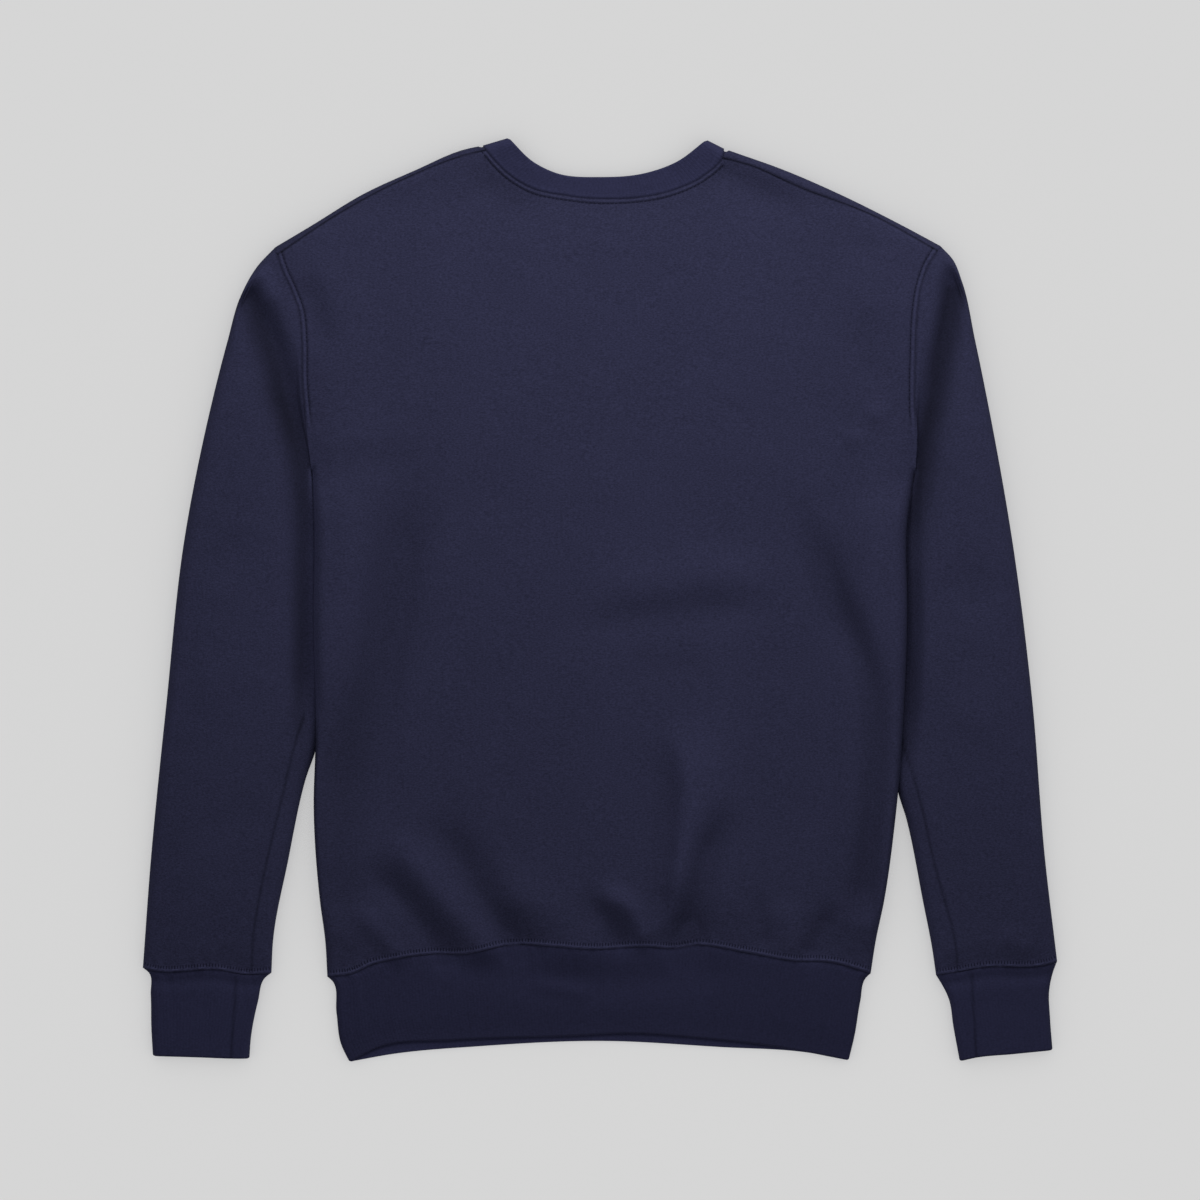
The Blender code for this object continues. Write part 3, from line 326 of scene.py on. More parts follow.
SEEDS = {"back": 3, "hem": 11, "collar": 21, "band": 31, "left_sleeve": 41, "right_sleeve": 51,
         "left_cuff": 61, "right_cuff": 71}

# Each interval of the lists above is split into this many
TOP_SPLITS = {"back_rows": 6, "back_columns": 5, "sleeve_rows": 8, "sleeve_columns": 5, "cuff_rows": 10,
              "band_rows": 10, "collar_rows": 8}
UNDER_SPLITS = {"front_rows": 3, "front_columns": 3, "under_columns": 4}


# Curves and tables

def along(knots, shares):
    """Points at shares 0 to 1 of the length of a smooth curve through the knots.

    Each stretch is a cubic whose end slopes are the mean slopes around its two knots.
    """
    knots = np.asarray(knots, float)
    shares = np.asarray(shares, float)
    steps = np.hypot(*np.diff(knots, axis=0).T)
    lengths = np.concatenate([[0.0], np.cumsum(steps)])
    slopes = np.gradient(knots, lengths, axis=0)
    at = shares * lengths[-1]
    first = np.clip(np.searchsorted(lengths, at, side="right") - 1, 0, len(steps) - 1)
    step = steps[first][:, None]
    part = (at - lengths[first])[:, None] / step
    start = (1 + 2 * part) * (1 - part) ** 2 * knots[first]
    leave = part * (1 - part) ** 2 * step * slopes[first]
    end = part ** 2 * (3 - 2 * part) * knots[first + 1]
    arrive = part ** 2 * (part - 1) * step * slopes[first + 1]
    return start + leave + end + arrive


def length_of(knots):
    return float(np.hypot(*np.diff(np.asarray(knots, float), axis=0).T).sum())


def through(places, values, at):
    """Values at the places `at` on a curve through (places, values) that never overshoots.

    `values` has a row for each place and may have a column for each point of `at`.  Each
    stretch is a cubic; a slope is the harmonic mean of its two neighbours, or flat at a turn.
    """
    places = np.asarray(places, float)
    values = np.asarray(values, float)
    if values.ndim == 1:
        values = np.repeat(values[:, None], len(at), axis=1)
    rises = np.diff(values, axis=0) / np.diff(places)[:, None]
    before, after = rises[:-1], rises[1:]
    same_way = before * after > 0
    total = np.where(same_way, before + after, 1.0)
    inner = np.where(same_way, 2 * before * after / total, 0.0)
    slopes = np.concatenate([rises[:1], inner, rises[-1:]])
    at = np.clip(at, places[0], places[-1])
    first = np.clip(np.searchsorted(places, at, side="right") - 1, 0, len(places) - 2)
    point = np.arange(len(at))
    step = places[first + 1] - places[first]
    part = (at - places[first]) / step
    low, high = values[first, point], values[first + 1, point]
    leave, arrive = slopes[first, point] * step, slopes[first + 1, point] * step
    bend = part * (1 - part) * ((1 - part) * (leave - (high - low)) - part * (arrive - (high - low)))
    return low + part * (high - low) + bend


def ease(share):
    """0 below 0, 1 above 1, and a smooth step between them."""
    share = np.clip(share, 0.0, 1.0)
    return share * share * (3.0 - 2.0 * share)


def finer(values, parts):
    """The values, with each interval between two of them split into even parts."""
    values = np.asarray(values, float)
    at = np.linspace(0, len(values) - 1, (len(values) - 1) * parts + 1)
    return np.interp(at, np.arange(len(values)), values)


def nearest_on(plan, lines):
    """Foot of each plan point on the nearest of some lines, and that line's unit direction."""
    starts = np.concatenate([line[:-1] for line in lines])
    runs = np.concatenate([np.diff(line, axis=0) for line in lines])
    squares = (runs ** 2).sum(axis=1)
    feet, directions = [], []
    for part in np.array_split(plan, len(plan) // 2000 + 1):
        share = ((part[:, None] - starts) * runs).sum(axis=2) / squares
        found = starts + np.clip(share, 0.0, 1.0)[..., None] * runs
        best = ((part[:, None] - found) ** 2).sum(axis=2).argmin(axis=1)
        feet.append(found[np.arange(len(part)), best])
        directions.append(runs[best] / np.sqrt(squares[best])[:, None])
    return np.concatenate(feet), np.concatenate(directions)


def away_from(plan, line):
    """Distance in plan from each point to a line."""
    foot, _ = nearest_on(plan, [line])
    return np.hypot(*(plan - foot).T)


def bell(away, width):
    return np.exp(-away ** 2 / (2.0 * width ** 2))


def uneven(places, size, seed):
    """Smooth uneven values, about -1 to 1, over places in a line or on a plane.

    The sum of sine waves with seeded phases and directions, and lengths near `size`.
    """
    draw = np.random.default_rng(seed)
    places = places.reshape(len(places), -1)
    waves = 2.0 * np.pi / (size * draw.uniform(0.6, 1.9, WAVES))
    turns = draw.uniform(0.0, 2.0 * np.pi, WAVES)
    ways = np.array([np.cos(turns), np.sin(turns)])
    if places.shape[1] == 1:
        ways = np.ones((1, WAVES))
    return np.sin(places @ ways * waves + draw.uniform(0.0, 2.0 * np.pi, WAVES)).sum(axis=1) / 5.0


# Form of the garment

def edge_line(knots):
    return along(knots, np.linspace(0.0, 1.0, FOLD_POINTS))


def plan_line(half, part):
    return edge_line(PLAN[half][part])


def sleeve_inner_edge(half):
    """Knots of the sleeve's inner edge: it starts at the underarm, lies beside the body and
    then a little under the roll of its side, and leaves it for the cuff."""
    plan = PLAN[half]
    side = plan_line(half, "side")
    underarm = side[0, 1]
    y = np.linspace(underarm, plan["sleeve_leaves_side"], 9)
    x = np.interp(-y, -side[:, 1], side[:, 0])
    tuck = np.interp(underarm - y, TUCK_BELOW, TUCK)
    beside = np.column_stack([x - np.sign(x) * tuck, y])
    return np.vstack([beside, plan["sleeve_inner"]])


def outer_line(half):
    """The fold that runs from the collar's tip over the shoulder and down the sleeve."""
    shoulder, sleeve = plan_line(half, "shoulder")[::-1], plan_line(half, "sleeve_outer")[1:]
    return np.vstack([[PLAN[half]["collar_tip"]], shoulder, sleeve])


BODY_LINES = [plan_line(half, "side") for half in PLAN] + [outer_line(half) for half in PLAN]


def width_at(y):
    """Left and right x of the body at each y, along sides, armholes and shoulders."""
    found = []
    for half, plan in PLAN.items():
        lines = [plan_line(half, part) for part in ("side", "armhole", "shoulder")]
        rise = np.vstack([lines[0][::-1], lines[1][::-1], lines[2], [plan["collar_tip"]]])
        found.append(np.interp(y, rise[:, 1], rise[:, 0]))
    return found


def body_height(plan):
    """Thickness of the body, collar and waistband at plan points, from BODY_HEIGHTS.

    Over HEM_BLEND above the waistband's seam it eases to HEM_HEIGHT, and below the seam it
    thins to BAND_END.
    """
    x, y = plan.T
    left, right = width_at(y)
    columns = [through(BODY_HEIGHTS["y"], BODY_HEIGHTS[name], y) for name in list(BODY_HEIGHTS)[1:]]
    columns += columns[-2::-1]
    across = np.clip((x - left) / (right - left), 0.0, 1.0)
    height = through(BODY_PLACES, np.array(columns), across)
    seam = edge_line(HEM)
    above = y - np.interp(x, seam[:, 0], seam[:, 1])
    above_seam = HEM_HEIGHT + (height - HEM_HEIGHT) * ease(above / HEM_BLEND)
    band = HEM_HEIGHT + (BAND_END - HEM_HEIGHT) * ease(-above / BAND_BLEND)
    return np.where(above > 0, above_seam, band)


def folds_at(plan, folds):
    """Sum of the folds at plan points: each is a soft ridge or trough, its rise times a bell
    curve of the distance to its path, eased in and out at the path's ends.

    Its two half widths are those towards the garment's middle and on its outer side.  A fold
    that fades over no share of its path ends at full height, as at a seam.
    """
    total = np.zeros(len(plan))
    for rise, (inner, outer), (fade_in, fade_out), path in folds:
        foot, _ = nearest_on(plan, [along(path, np.linspace(0, 1, FOLD_PATH_POINTS))])
        away = np.hypot(*(plan - foot).T)
        slant = (np.abs(plan[:, 0]) - np.abs(foot[:, 0])) / np.maximum(away, BY_FOLD)
        run = np.subtract(path[-1], path[0])
        share = (foot - path[0]) @ run / (run @ run)
        strength = ease(share / fade_in)
        if fade_out > 0:
            strength = strength * ease((1.0 - share) / fade_out)
        total += rise * strength * bell(away, 0.5 * (inner + outer) + 0.5 * (outer - inner) * slant)
    return total


def skins(plan, height, lift, folded, on_fold, inwards, wall, up):
    """Outer and inner skin over a grid of plan points, for the top (up = 1) or the underside.

    Near a folded edge the form is a half circle as wide as half the height.  `round_` is the
    sine of the angle round that circle: 0 on the edge and 1 beyond the roll.  The inner skin
    lies one wall inside the outer one, square to it, but never across one of the seams whose
    inward vectors are given.  `on_fold` marks the grid points that lie on the fold.  A point
    just outside the fold keeps the fold's own outward direction, so that the wall never flips.
    """
    shape = plan.shape[:-1]
    flat = plan.reshape(-1, 2)
    foot, direction = nearest_on(flat, folded)
    away = np.hypot(*(foot - flat).T)
    away[on_fold.ravel()] = 0.0
    square = np.column_stack([direction[:, 1], -direction[:, 0]])
    outward = np.sign(((foot - flat.mean(axis=0)) * square).sum(axis=1))[:, None] * square
    within = ((foot - flat) * outward).sum(axis=1) > 0.0
    far = (away > BY_FOLD) & (within | (away > PAST_FOLD))
    outward[far] = ((foot - flat) / np.maximum(away, BY_FOLD)[:, None])[far]
    half = height.ravel() / 2.0
    away = np.where(on_fold.ravel(), 0.0, np.maximum(away, BY_FOLD))
    inside = np.clip(1.0 - away / half, 0.0, 1.0)
    round_ = np.sqrt(1.0 - inside ** 2)
    outer_rise, inner_rise = half * round_, (half - wall) * round_
    least = 2.0 * wall + LEAST_HOLLOW - 2.0 * half
    raised = np.maximum(lift.ravel(), np.minimum(least, 0.0)) * ease(2.0 * round_ - 1.0)
    outer = np.column_stack([flat, half + up * outer_rise + raised])
    shift = -wall * inside[:, None] * outward
    for inward in inwards:
        square = inward.reshape(-1, 2)
        shift -= np.minimum((shift * square).sum(axis=1), 0.0)[:, None] * square
    inner = np.column_stack([flat + shift, half + up * inner_rise + raised])
    return outer.reshape(*shape, 3), inner.reshape(*shape, 3)


def bow_of(edge, shares):
    """How far an edge strays from the straight chord between its ends."""
    shares = np.asarray(shares, float)[:, None]
    return edge - ((1 - shares) * edge[0] + shares * edge[-1])


def bowed(low, high, first, last, across, low_fade, high_fade):
    """Grid between four edges: `low` and `high` run across, `first` and `last` run up.

    Each row is the straight chord from first to last, plus a share of the bow of low and of
    high: low_fade and high_fade give those shares for each row.
    """
    s = np.asarray(across)[None, :, None]
    chords = (1 - s) * first[:, None] + s * last[:, None]
    low_bow, high_bow = bow_of(low, across)[None], bow_of(high, across)[None]
    return chords + low_fade[:, None, None] * low_bow + high_fade[:, None, None] * high_bow


def patch(low, high, first, last, across, up):
    """Grid between four edges: the flat four-sided form of its corners plus each edge's bow.

    The bows of low and high fade evenly to the other edge; those of first and last fade with
    the fifth power, so that only the columns beside them bend.
    """
    s = np.asarray(across, float)[None, :, None]
    t = np.asarray(up, float)[:, None, None]
    low_line = (1 - s) * low[0] + s * low[-1]
    high_line = (1 - s) * high[0] + s * high[-1]
    ends = (1 - t) * low_line + t * high_line
    rows = (1 - t) * bow_of(low, across)[None] + t * bow_of(high, across)[None]
    sides = (1 - s) ** 5 * bow_of(first, up)[:, None] + s ** 5 * bow_of(last, up)[:, None]
    return ends + rows + sides


def square_to(seam, inside):
    """Unit vectors in plan, square to a seam and towards the points inside its piece."""
    run = np.gradient(seam, axis=0)
    square = np.column_stack([-run[:, 1], run[:, 0]])
    square /= np.hypot(*square.T)[:, None]
    return square * np.sign((square * (inside - seam)).sum(axis=1))[:, None]


def draw_in(grid, seams):
    """The grid with each seam moved half a lap out of its piece, and the inward unit vectors.

    A seam is a pair: the index of its points in the grid, and points inside the piece.
    """
    inwards = []
    for seam, inside in seams:
        inward = np.zeros(grid.shape)
        inward[seam] = square_to(grid[seam], inside)
        inwards.append(inward)
    return grid + (-SEAM_LAP / 2.0) * sum(inwards), inwards


# Relief of the seams

def over(grid, function, *values):
    """A function of plan points, over a grid of them."""
    return function(grid.reshape(-1, 2), *values).reshape(grid.shape[:-1])


def seam_relief(plan, line, seed):
    """Rise and tone beside a seam whose allowance is turned under this piece.

    A welt 2 mm from the seam, higher and lower along it, and puckers that run off it and fade.  The tone is a
    painted highlight on the welt and painted shade in the seam's groove.
    """
    away = away_from(plan, line)
    along_it = plan @ np.array([1.0, 0.35])
    welt = (1.1 + 0.3 * uneven(along_it, 11.0, seed)) * bell(away - 1.8, 1.1)
    pucker = 0.55 * uneven(along_it, 9.0, seed + 1) * np.exp(-away / 9.0) * ease(away / 3.0)
    groove = -0.4 * bell(away, 0.6)
    # painted highlight on the welt, painted shade in the seam's groove, and a faint painted highlight beyond
    # the welt
    tone = 1.2 * bell(away - 1.5, 0.8) - 0.8 * bell(away, 0.5) + 0.15 * bell(away - 4.0, 1.2)
    return welt + pucker + groove, tone


def stitch_relief(plan, line, offset):
    """Rise and tone of a row of stitches that presses the cloth down beside a seam: the tone is painted shade
    in the grooves of the seam and the row, and a painted highlight on the cloth between them.
    """
    away = away_from(plan, line)
    seam = bell(away, 0.7)
    row = bell(away - offset, 0.65)
    between = bell(away - offset / 2.0, max(offset, 1.0) / 3.5)
    return 0.45 * between - 0.5 * row - 0.4 * seam, 0.5 * between - 1.1 * row - 0.9 * seam


def line_relief(plan, line):
    """Rise and tone of a plain seam that only shows as a fine line: the tone is painted shade along its
    groove.
    """
    away = away_from(plan, line)
    return -0.4 * bell(away, 1.0), -0.85 * bell(away, 0.8)


# Meshes

def faces_between(index):
    """Quads between the rows and columns of a grid of indices."""
    low, high = index[:-1], index[1:]
    return np.stack([low[:, :-1], low[:, 1:], high[:, 1:], high[:, :-1]], axis=-1).reshape(-1, 4)


def rim_between(edge, offset):
    """Quads that join an edge of the outer skin to the same edge of the inner one."""
    return np.stack([edge[1:], edge[:-1], edge[:-1] + offset, edge[1:] + offset], axis=-1)


def measured_map(outer, start, even):
    """Cloth coordinates in millimetres, as lengths along the skin itself.

    Across: the length of the row from column `start`, or on ribs, which all run one way, of
    the middle row.  Up: the length of the column from the first row.
    """
    across = np.hypot.reduce(np.diff(outer, axis=1), axis=2)
    up = np.sqrt((np.diff(outer, axis=0) ** 2).sum(axis=2))
    if even:
        across = np.repeat(across[len(across) // 2][None], len(across), axis=0)
    u = np.hstack([np.zeros((len(outer), 1)), np.cumsum(across, axis=1)])
    v = np.vstack([np.zeros((1, outer.shape[1])), np.cumsum(up, axis=0)])
    return np.stack([u - u[:, start:start + 1], v], axis=-1)


def new_piece(name, points, faces, finish):
    """A smooth mesh in the scene, from points in metres."""
    mesh = bpy.data.meshes.new(name)
    mesh.from_pydata(points.tolist(), [], faces)
    mesh.shade_smooth()
    mesh.materials.append(finish)
    piece = bpy.data.objects.new(name, mesh)
    bpy.context.scene.collection.objects.link(piece)
    return piece


def cloth(name, outer, inner, tone, finish, ring=False, start=None, even=False):
    """One closed wall between the two skins, with its faces outwards, its cloth map and its tone, mostly
    painted light and shade on its colour.
    """
    rows, columns = outer.shape[:2]
    start = columns // 2 if start is None else start
    if ring:
        outer, inner = (np.hstack([skin, skin[:, :1]]) for skin in (outer, inner))
    wide = outer.shape[1]
    total = rows * wide
    index = np.arange(total).reshape(rows, wide)
    skin = faces_between(index)
    faces = [skin, skin[:, ::-1] + total, rim_between(index[0], total),
             rim_between(index[-1][::-1], total)]
    if not ring:
        faces += [rim_between(index[::-1, 0], total), rim_between(index[:, -1], total)]
    faces = np.vstack(faces)
    points = np.vstack([outer.reshape(-1, 3), inner.reshape(-1, 3)]) * MM
    corners = points[faces]
    area = np.cross(corners[:, 2] - corners[:, 0], corners[:, 3] - corners[:, 1])
    if (corners.mean(axis=1) * area).sum() < 0.0:
        faces = faces[:, ::-1]
    places = measured_map(outer, start, even).reshape(-1, 2) * MM
    on_layer, at = np.divmod(faces, total)
    row, column = np.divmod(at, wide)
    real = (on_layer * rows + row) * columns + column % columns
    kept = points.reshape(2, rows, wide, 3)[:, :, :columns].reshape(-1, 3)
    piece = new_piece(name, kept, real.tolist(), finish)
    mesh = piece.data
    mesh.set_sharp_from_angle(angle=np.radians(50.0))
    mesh.uv_layers.new(name="cloth_map").data.foreach_set("uv", places[at].ravel())
    # tone: mostly painted light and shade on the cloth's colour, the same on both skins
    shades = mesh.attributes.new("tone", "FLOAT", "POINT")
    shades.data.foreach_set("value", np.tile(tone.ravel(), 2).astype(np.float32))
    return piece


def ends_of_rows(grid):
    """Marks the first and the last point of each row."""
    marks = np.zeros(grid.shape[:2], bool)
    marks[:, [0, -1]] = True
    return marks


def rounded_end(outer, inner, wall):
    """The two skins, drawn together towards the last row as a half circle: at the distance e
    from it their spacing is the root of 1 - (1 - e / r) squared, r being half the wall."""
    to_end = np.linalg.norm(outer - outer[-1:], axis=2)[..., None]
    spacing = np.sqrt(1.0 - np.clip(1.0 - 2.0 * to_end / wall, 0.0, 1.0) ** 2)
    spacing = np.maximum(spacing, LEAST_SPACING)
    middle = (outer + inner) / 2.0
    return middle + spacing * (outer - middle), middle + spacing * (inner - middle)


def rows_to_end(shares, parts, length):
    """Rows split into parts, with a few more close to the free edge for its rounding."""
    rows = finer(shares, parts)
    near = 1.0 - np.array(END_ROWS) / length
    return np.append(rows[rows < near[0] - 0.5 / length], near)


def tube(name, layers, lift, tone, folded, wall, finish, last_is_seam=False, even=False, under_tone=0.0):
    """A laid-flat tube of two layers, top and underside, which share both folds.

    A layer is its plan grid and its thickness.  The first row is a seam, and the last one is
    marked as one too or is a rounded free edge.  The cloth map starts in the middle of the top.
    """
    lift, tone = (values.reshape(layers[0][1].shape) for values in (lift, tone))
    skinned = []
    for (grid, height), up in zip(layers, (1, -1)):
        middle = grid.mean(axis=(0, 1))
        seams = [(np.s_[0], middle)] + ([(np.s_[-1], middle)] if last_is_seam else [])
        moved, inwards = draw_in(grid, seams)
        raised = lift if up > 0 else np.zeros(height.shape)
        both = skins(moved, height, raised, folded, ends_of_rows(grid), inwards, wall, up)
        skinned.append(both if last_is_seam else rounded_end(*both, wall))
    (outer, inner), (lower, lining) = skinned
    start = outer.shape[1] // 2
    under = lower.shape[1] - 2
    tone = np.hstack([tone, under_tone + np.zeros((len(tone), under))])
    outer = np.hstack([outer, lower[:, -2:0:-1]])
    inner = np.hstack([inner, lining[:, -2:0:-1]])
    return cloth(name, outer, inner, tone, finish, ring=True, start=start, even=even)


# Pieces

def height_over(grid):
    return over(grid, body_height)


def body_edges(half, ends):
    """Side edge of a body panel from the waistband up, at the rows below the underarm and
    then at the armhole shares `ends`, and the share of each of its rows."""
    plan = PLAN[half]
    below = finer(ROWS_BELOW, ends[0]) / ROWS_BELOW[-1]
    side = along(plan["side"], 1.0 - below)
    armhole = along(plan["armhole"], ends[1])
    rows = UNDERARM + (1.0 - UNDERARM) * (1.0 - ends[1]) / (1.0 - ends[1][-1])
    return np.vstack([side, armhole]), np.append(UNDERARM * below, rows), len(below)


def armholes_and_hem(grid, below, step):
    """The seams that both body panels have: the hem and the two armholes."""
    rows = slice(below - 1, None)
    return [(np.s_[0], grid[2 * step]), (np.s_[rows, 0], grid[rows, 4 * step]),
            (np.s_[rows, -1], grid[rows, -1 - 4 * step])]


def seam_lines():
    """The body's seam lines in plan: hem, armholes, shoulders and back of the neck."""
    lines = {"hem": edge_line(HEM), "neck": edge_line(NECK_BACK)}
    for half in PLAN:
        lines[half + "_armhole"] = plan_line(half, "armhole")
        lines[half + "_shoulder"] = plan_line(half, "shoulder_seam")
    return lines


SEAMS = seam_lines()


def cloth_unrest(flat, seed):
    """Small uneven rise of the cloth's face, in waves of about 10 and 30 mm."""
    return 0.10 * uneven(flat, 11.0, seed) + 0.18 * uneven(flat, 34.0, seed + 1)


def back_columns(parts):
    """Shares of the back's shoulder columns, the number of its neck's, and the shares of all."""
    shoulder, count = finer(SHOULDER, parts), (BACK_NECK_COLUMNS - 1) * parts + 1
    neck = np.linspace(NECK_START, NECK_END, count)[1:-1]
    return shoulder, count, np.concatenate([shoulder, neck, 1.0 - shoulder[::-1]])


def build_back(finish):
    """The back, on top, from the waistband to the shoulder seams and the neck seam."""
    rows_split, columns_split = TOP_SPLITS["back_rows"], TOP_SPLITS["back_columns"]
    ends = finer(ARMHOLE_TOP[:1:-1], rows_split)[1:]
    left, rows, below = body_edges("left", (rows_split, ends))
    right, _, _ = body_edges("right", (rows_split, ends))
    shoulder, neck_columns, across = back_columns(columns_split)
    left_seam = along(PLAN["left"]["shoulder_seam"], shoulder / NECK_START)
    right_seam = along(PLAN["right"]["shoulder_seam"], shoulder / NECK_START)[::-1]
    left_seam[0], right_seam[-1] = left[-1], right[-1]
    start, end = neck_ends()
    neck_seam = along(NECK_BACK, np.linspace(start, end, neck_columns))
    top = np.vstack([left_seam, neck_seam[1:-1], right_seam])
    grid = patch(along(HEM, across), top, left, right, across, rows)
    first, last = len(shoulder) - 1, len(across) - len(shoulder)
    parts = (slice(0, first + 1), slice(first, last + 1), slice(last, None))
    top_seams = [(np.s_[-1, columns], grid[-1 - 2 * rows_split, columns]) for columns in parts]
    moved, inwards = draw_in(grid, armholes_and_hem(grid, below, columns_split) + top_seams)
    on_fold = ends_of_rows(grid)
    on_fold[below:] = False
    flat = moved.reshape(-1, 2)
    folds = folds_at(flat, BODY_FOLDS)
    hem_rise, tone = seam_relief(flat, SEAMS["hem"], SEEDS["hem"])
    lift = folds + cloth_unrest(flat, SEEDS["back"]) + hem_rise
    # painted shade in the folds' troughs and painted highlight on their ridges
    tone += FOLD_PAINTED_SHADING * folds
    # painted shade in the stitch grooves of the armholes, shoulders and neck, and painted light in the
    # crevice beside each sleeve
    for half in PLAN:
        rise, shade = stitch_relief(flat, SEAMS[half + "_armhole"], ROW_OFFSET["armhole"])
        seen = ease((flat[:, 1] - ARMHOLE_HIDDEN) / ARMHOLE_SHOWS)
        lift += seen * rise
        tone += seen * shade + crevice_painted_light(flat, half)
        rise, shade = stitch_relief(flat, SEAMS[half + "_shoulder"], 0.0)
        lift += 0.4 * rise
        tone += shade
    rise, shade = stitch_relief(flat, SEAMS["neck"], ROW_OFFSET["neck"])
    lift += rise
    tone += shade
    outer, inner = skins(moved, height_over(grid), lift, BODY_LINES, on_fold, inwards, FLEECE, 1)
    return cloth("back_cloth", outer, inner, tone, finish)


def neck_ends():
    """Shares of the back neck seam at which the two shoulder seams meet it."""
    total = length_of(NECK_BACK)
    return length_of(NECK_BACK[:2]) / total, 1.0 - length_of(NECK_BACK[-2:]) / total


def front_neck_shares(parts):
    """Shares of the front neck seam at the front's columns, close together round each fold."""
    near = np.array(NECK_BY_FOLD) / length_of(NECK_FRONT)
    even = np.linspace(near[-1], 1.0 - near[-1], 9)[1:-1]
    return finer(np.concatenate([near, even, 1.0 - near[::-1]]), parts)


def front_columns(parts):
    """Shares of the front's columns: its shoulders', its neck's and its shoulders' again."""
    shoulder, neck_shares = finer(SHOULDER, parts), front_neck_shares(parts)
    neck = 0.5 + (NECK_END - NECK_START) * NECK_PAST_FOLD * (neck_shares - 0.5)
    return shoulder, neck_shares, np.concatenate([shoulder, neck, 1.0 - shoulder[::-1]])


def build_front(finish):
    """The front, underneath; its shoulders wrap over the fold to the shoulder seams."""
    split, columns_split = UNDER_SPLITS["front_rows"], UNDER_SPLITS["front_columns"]
    ends = finer(ARMHOLE_UNDER[::-1], split)[1:]
    left, rows, below = body_edges("left", (split, ends))
    right, _, _ = body_edges("right", (split, ends))
    shoulder, neck_shares, across = front_columns(columns_split)
    edges, seams = [], []
    for plan in PLAN.values():
        reach = 1.0 - FOLD_COLUMN / length_of(plan["shoulder"])
        edges.append(along(plan["shoulder"], shoulder / NECK_START * reach))
        seams.append(along(plan["shoulder_seam"], shoulder / NECK_START))
        seams[-1][0] = along(plan["armhole"], np.array([FRONT_EDGE]))[0]
    top = np.vstack([edges[0], along(NECK_FRONT, neck_shares), edges[1][::-1]])
    hem = along(HEM, across)
    grid = patch(hem, top, left, right, across, rows)
    on_neck = slice(len(shoulder), len(shoulder) + len(neck_shares))
    turned = finer((0.0, ARMHOLE_TOP[1] / FRONT_EDGE, 1.0), split)[1:]
    fold_row = -1 - len(turned)
    last_rows = np.linspace(rows[fold_row], 1.0, 4 * split + 1)
    neck_edge = patch(hem, top, resample(left, rows, last_rows), resample(right, rows, last_rows),
                      across, last_rows)
    wrapped = [seam_row(edges, seams, part, len(neck_shares)) for part in turned]
    grid = np.vstack([grid, np.array(wrapped)])
    grid[-len(last_rows):, on_neck] = neck_edge[:, on_neck]
    first, last = len(shoulder), len(across) - len(shoulder)
    parts = (slice(0, first), slice(last, None))
    top_seams = [(np.s_[-1, columns], grid[fold_row, columns]) for columns in parts]
    top_seams.append((np.s_[-1, on_neck], neck_inside(grid[-1, on_neck])))
    moved, inwards = draw_in(grid, armholes_and_hem(grid, below, columns_split) + top_seams)
    height, none = height_over(grid), np.zeros(grid.shape[:2])
    on_fold = ends_of_rows(grid)
    on_fold[below:] = False
    on_fold[fold_row, :first] = on_fold[fold_row, last:] = True
    on_fold[-1, [first, last - 1]] = True
    outer, inner = skins(moved, height, none, BODY_LINES, on_fold, inwards, FLEECE, -1)
    lift = over(moved, folds_at, BODY_FOLDS)
    over_outer, over_inner = skins(moved, height, lift, BODY_LINES, on_fold, inwards, FLEECE, 1)
    for columns in parts:
        outer[fold_row + 1:, columns] = over_outer[fold_row + 1:, columns]
        inner[fold_row + 1:, columns] = over_inner[fold_row + 1:, columns]
    tone = none.copy()
    for columns in parts:
        # a darker strip where the front turns over, and painted shade along the shoulder seam
        tone[fold_row:, columns] = TURNED_TONE["shoulder"]
        tone[-1, columns] = TURNED_TONE["seam"]
    return cloth("front_cloth", outer, inner, tone, finish)


def resample(edge, rows, wanted):
    """An edge that is known at some row shares, at other ones."""
    return np.column_stack([np.interp(wanted, rows, edge[:, axis]) for axis in (0, 1)])


def seam_row(edges, seams, part, neck_count):
    """A row of the front's turned-over shoulders, `part` of the way from fold to seam."""
    left = edges[0] + part * (seams[0] - edges[0])
    right = edges[1] + part * (seams[1] - edges[1])
    return np.vstack([left, np.zeros((neck_count, 2)), right[::-1]])


def neck_inside(seam):
    """Points on the front's side of its neck seam: away from the middle of the neck."""
    return NECK_MIDDLE + 1.2 * (seam - NECK_MIDDLE)


def collar_half(seam_knots, edge_knots, shares, rows):
    """Plan of half the collar: straight ribs from the neck seam to its free edge."""
    seam, edge = along(seam_knots, shares), along(edge_knots, shares)
    return np.array([seam + part * (edge - seam) for part in rows])


def build_collar(finish):
    """The collar, a ring of rib: its back lies on top, its front underneath."""
    rows = rows_to_end(COLLAR_ROWS, TOP_SPLITS["collar_rows"], COLLAR_WIDTH)
    start, end = neck_ends()
    split = TOP_SPLITS["back_columns"]
    inner = np.linspace(start, end, BACK_NECK_COLUMNS)
    top_shares = finer(np.concatenate([[0.0], inner, [1.0]]), split)
    top = collar_half(NECK_BACK, COLLAR_BACK, top_shares, rows)
    under = collar_half(NECK_FRONT, COLLAR_FRONT, front_neck_shares(split), rows)
    layers = [(grid, height_over(grid)) for grid in (top, under)]
    flat = top.reshape(-1, 2)
    lift = folds_at(flat, BODY_FOLDS) + 0.10 * uneven(flat, 14.0, SEEDS["collar"])
    away = away_from(flat, SEAMS["neck"])
    lift += 0.35 * bell(away - 1.6, 1.2) - 0.5 * bell(away, 0.7)
    # painted shade in the groove of the neck seam
    tone = -0.8 * bell(away, 0.7)
    return tube("collar_rib", layers, lift, tone, BODY_LINES, RIB, finish, even=True)


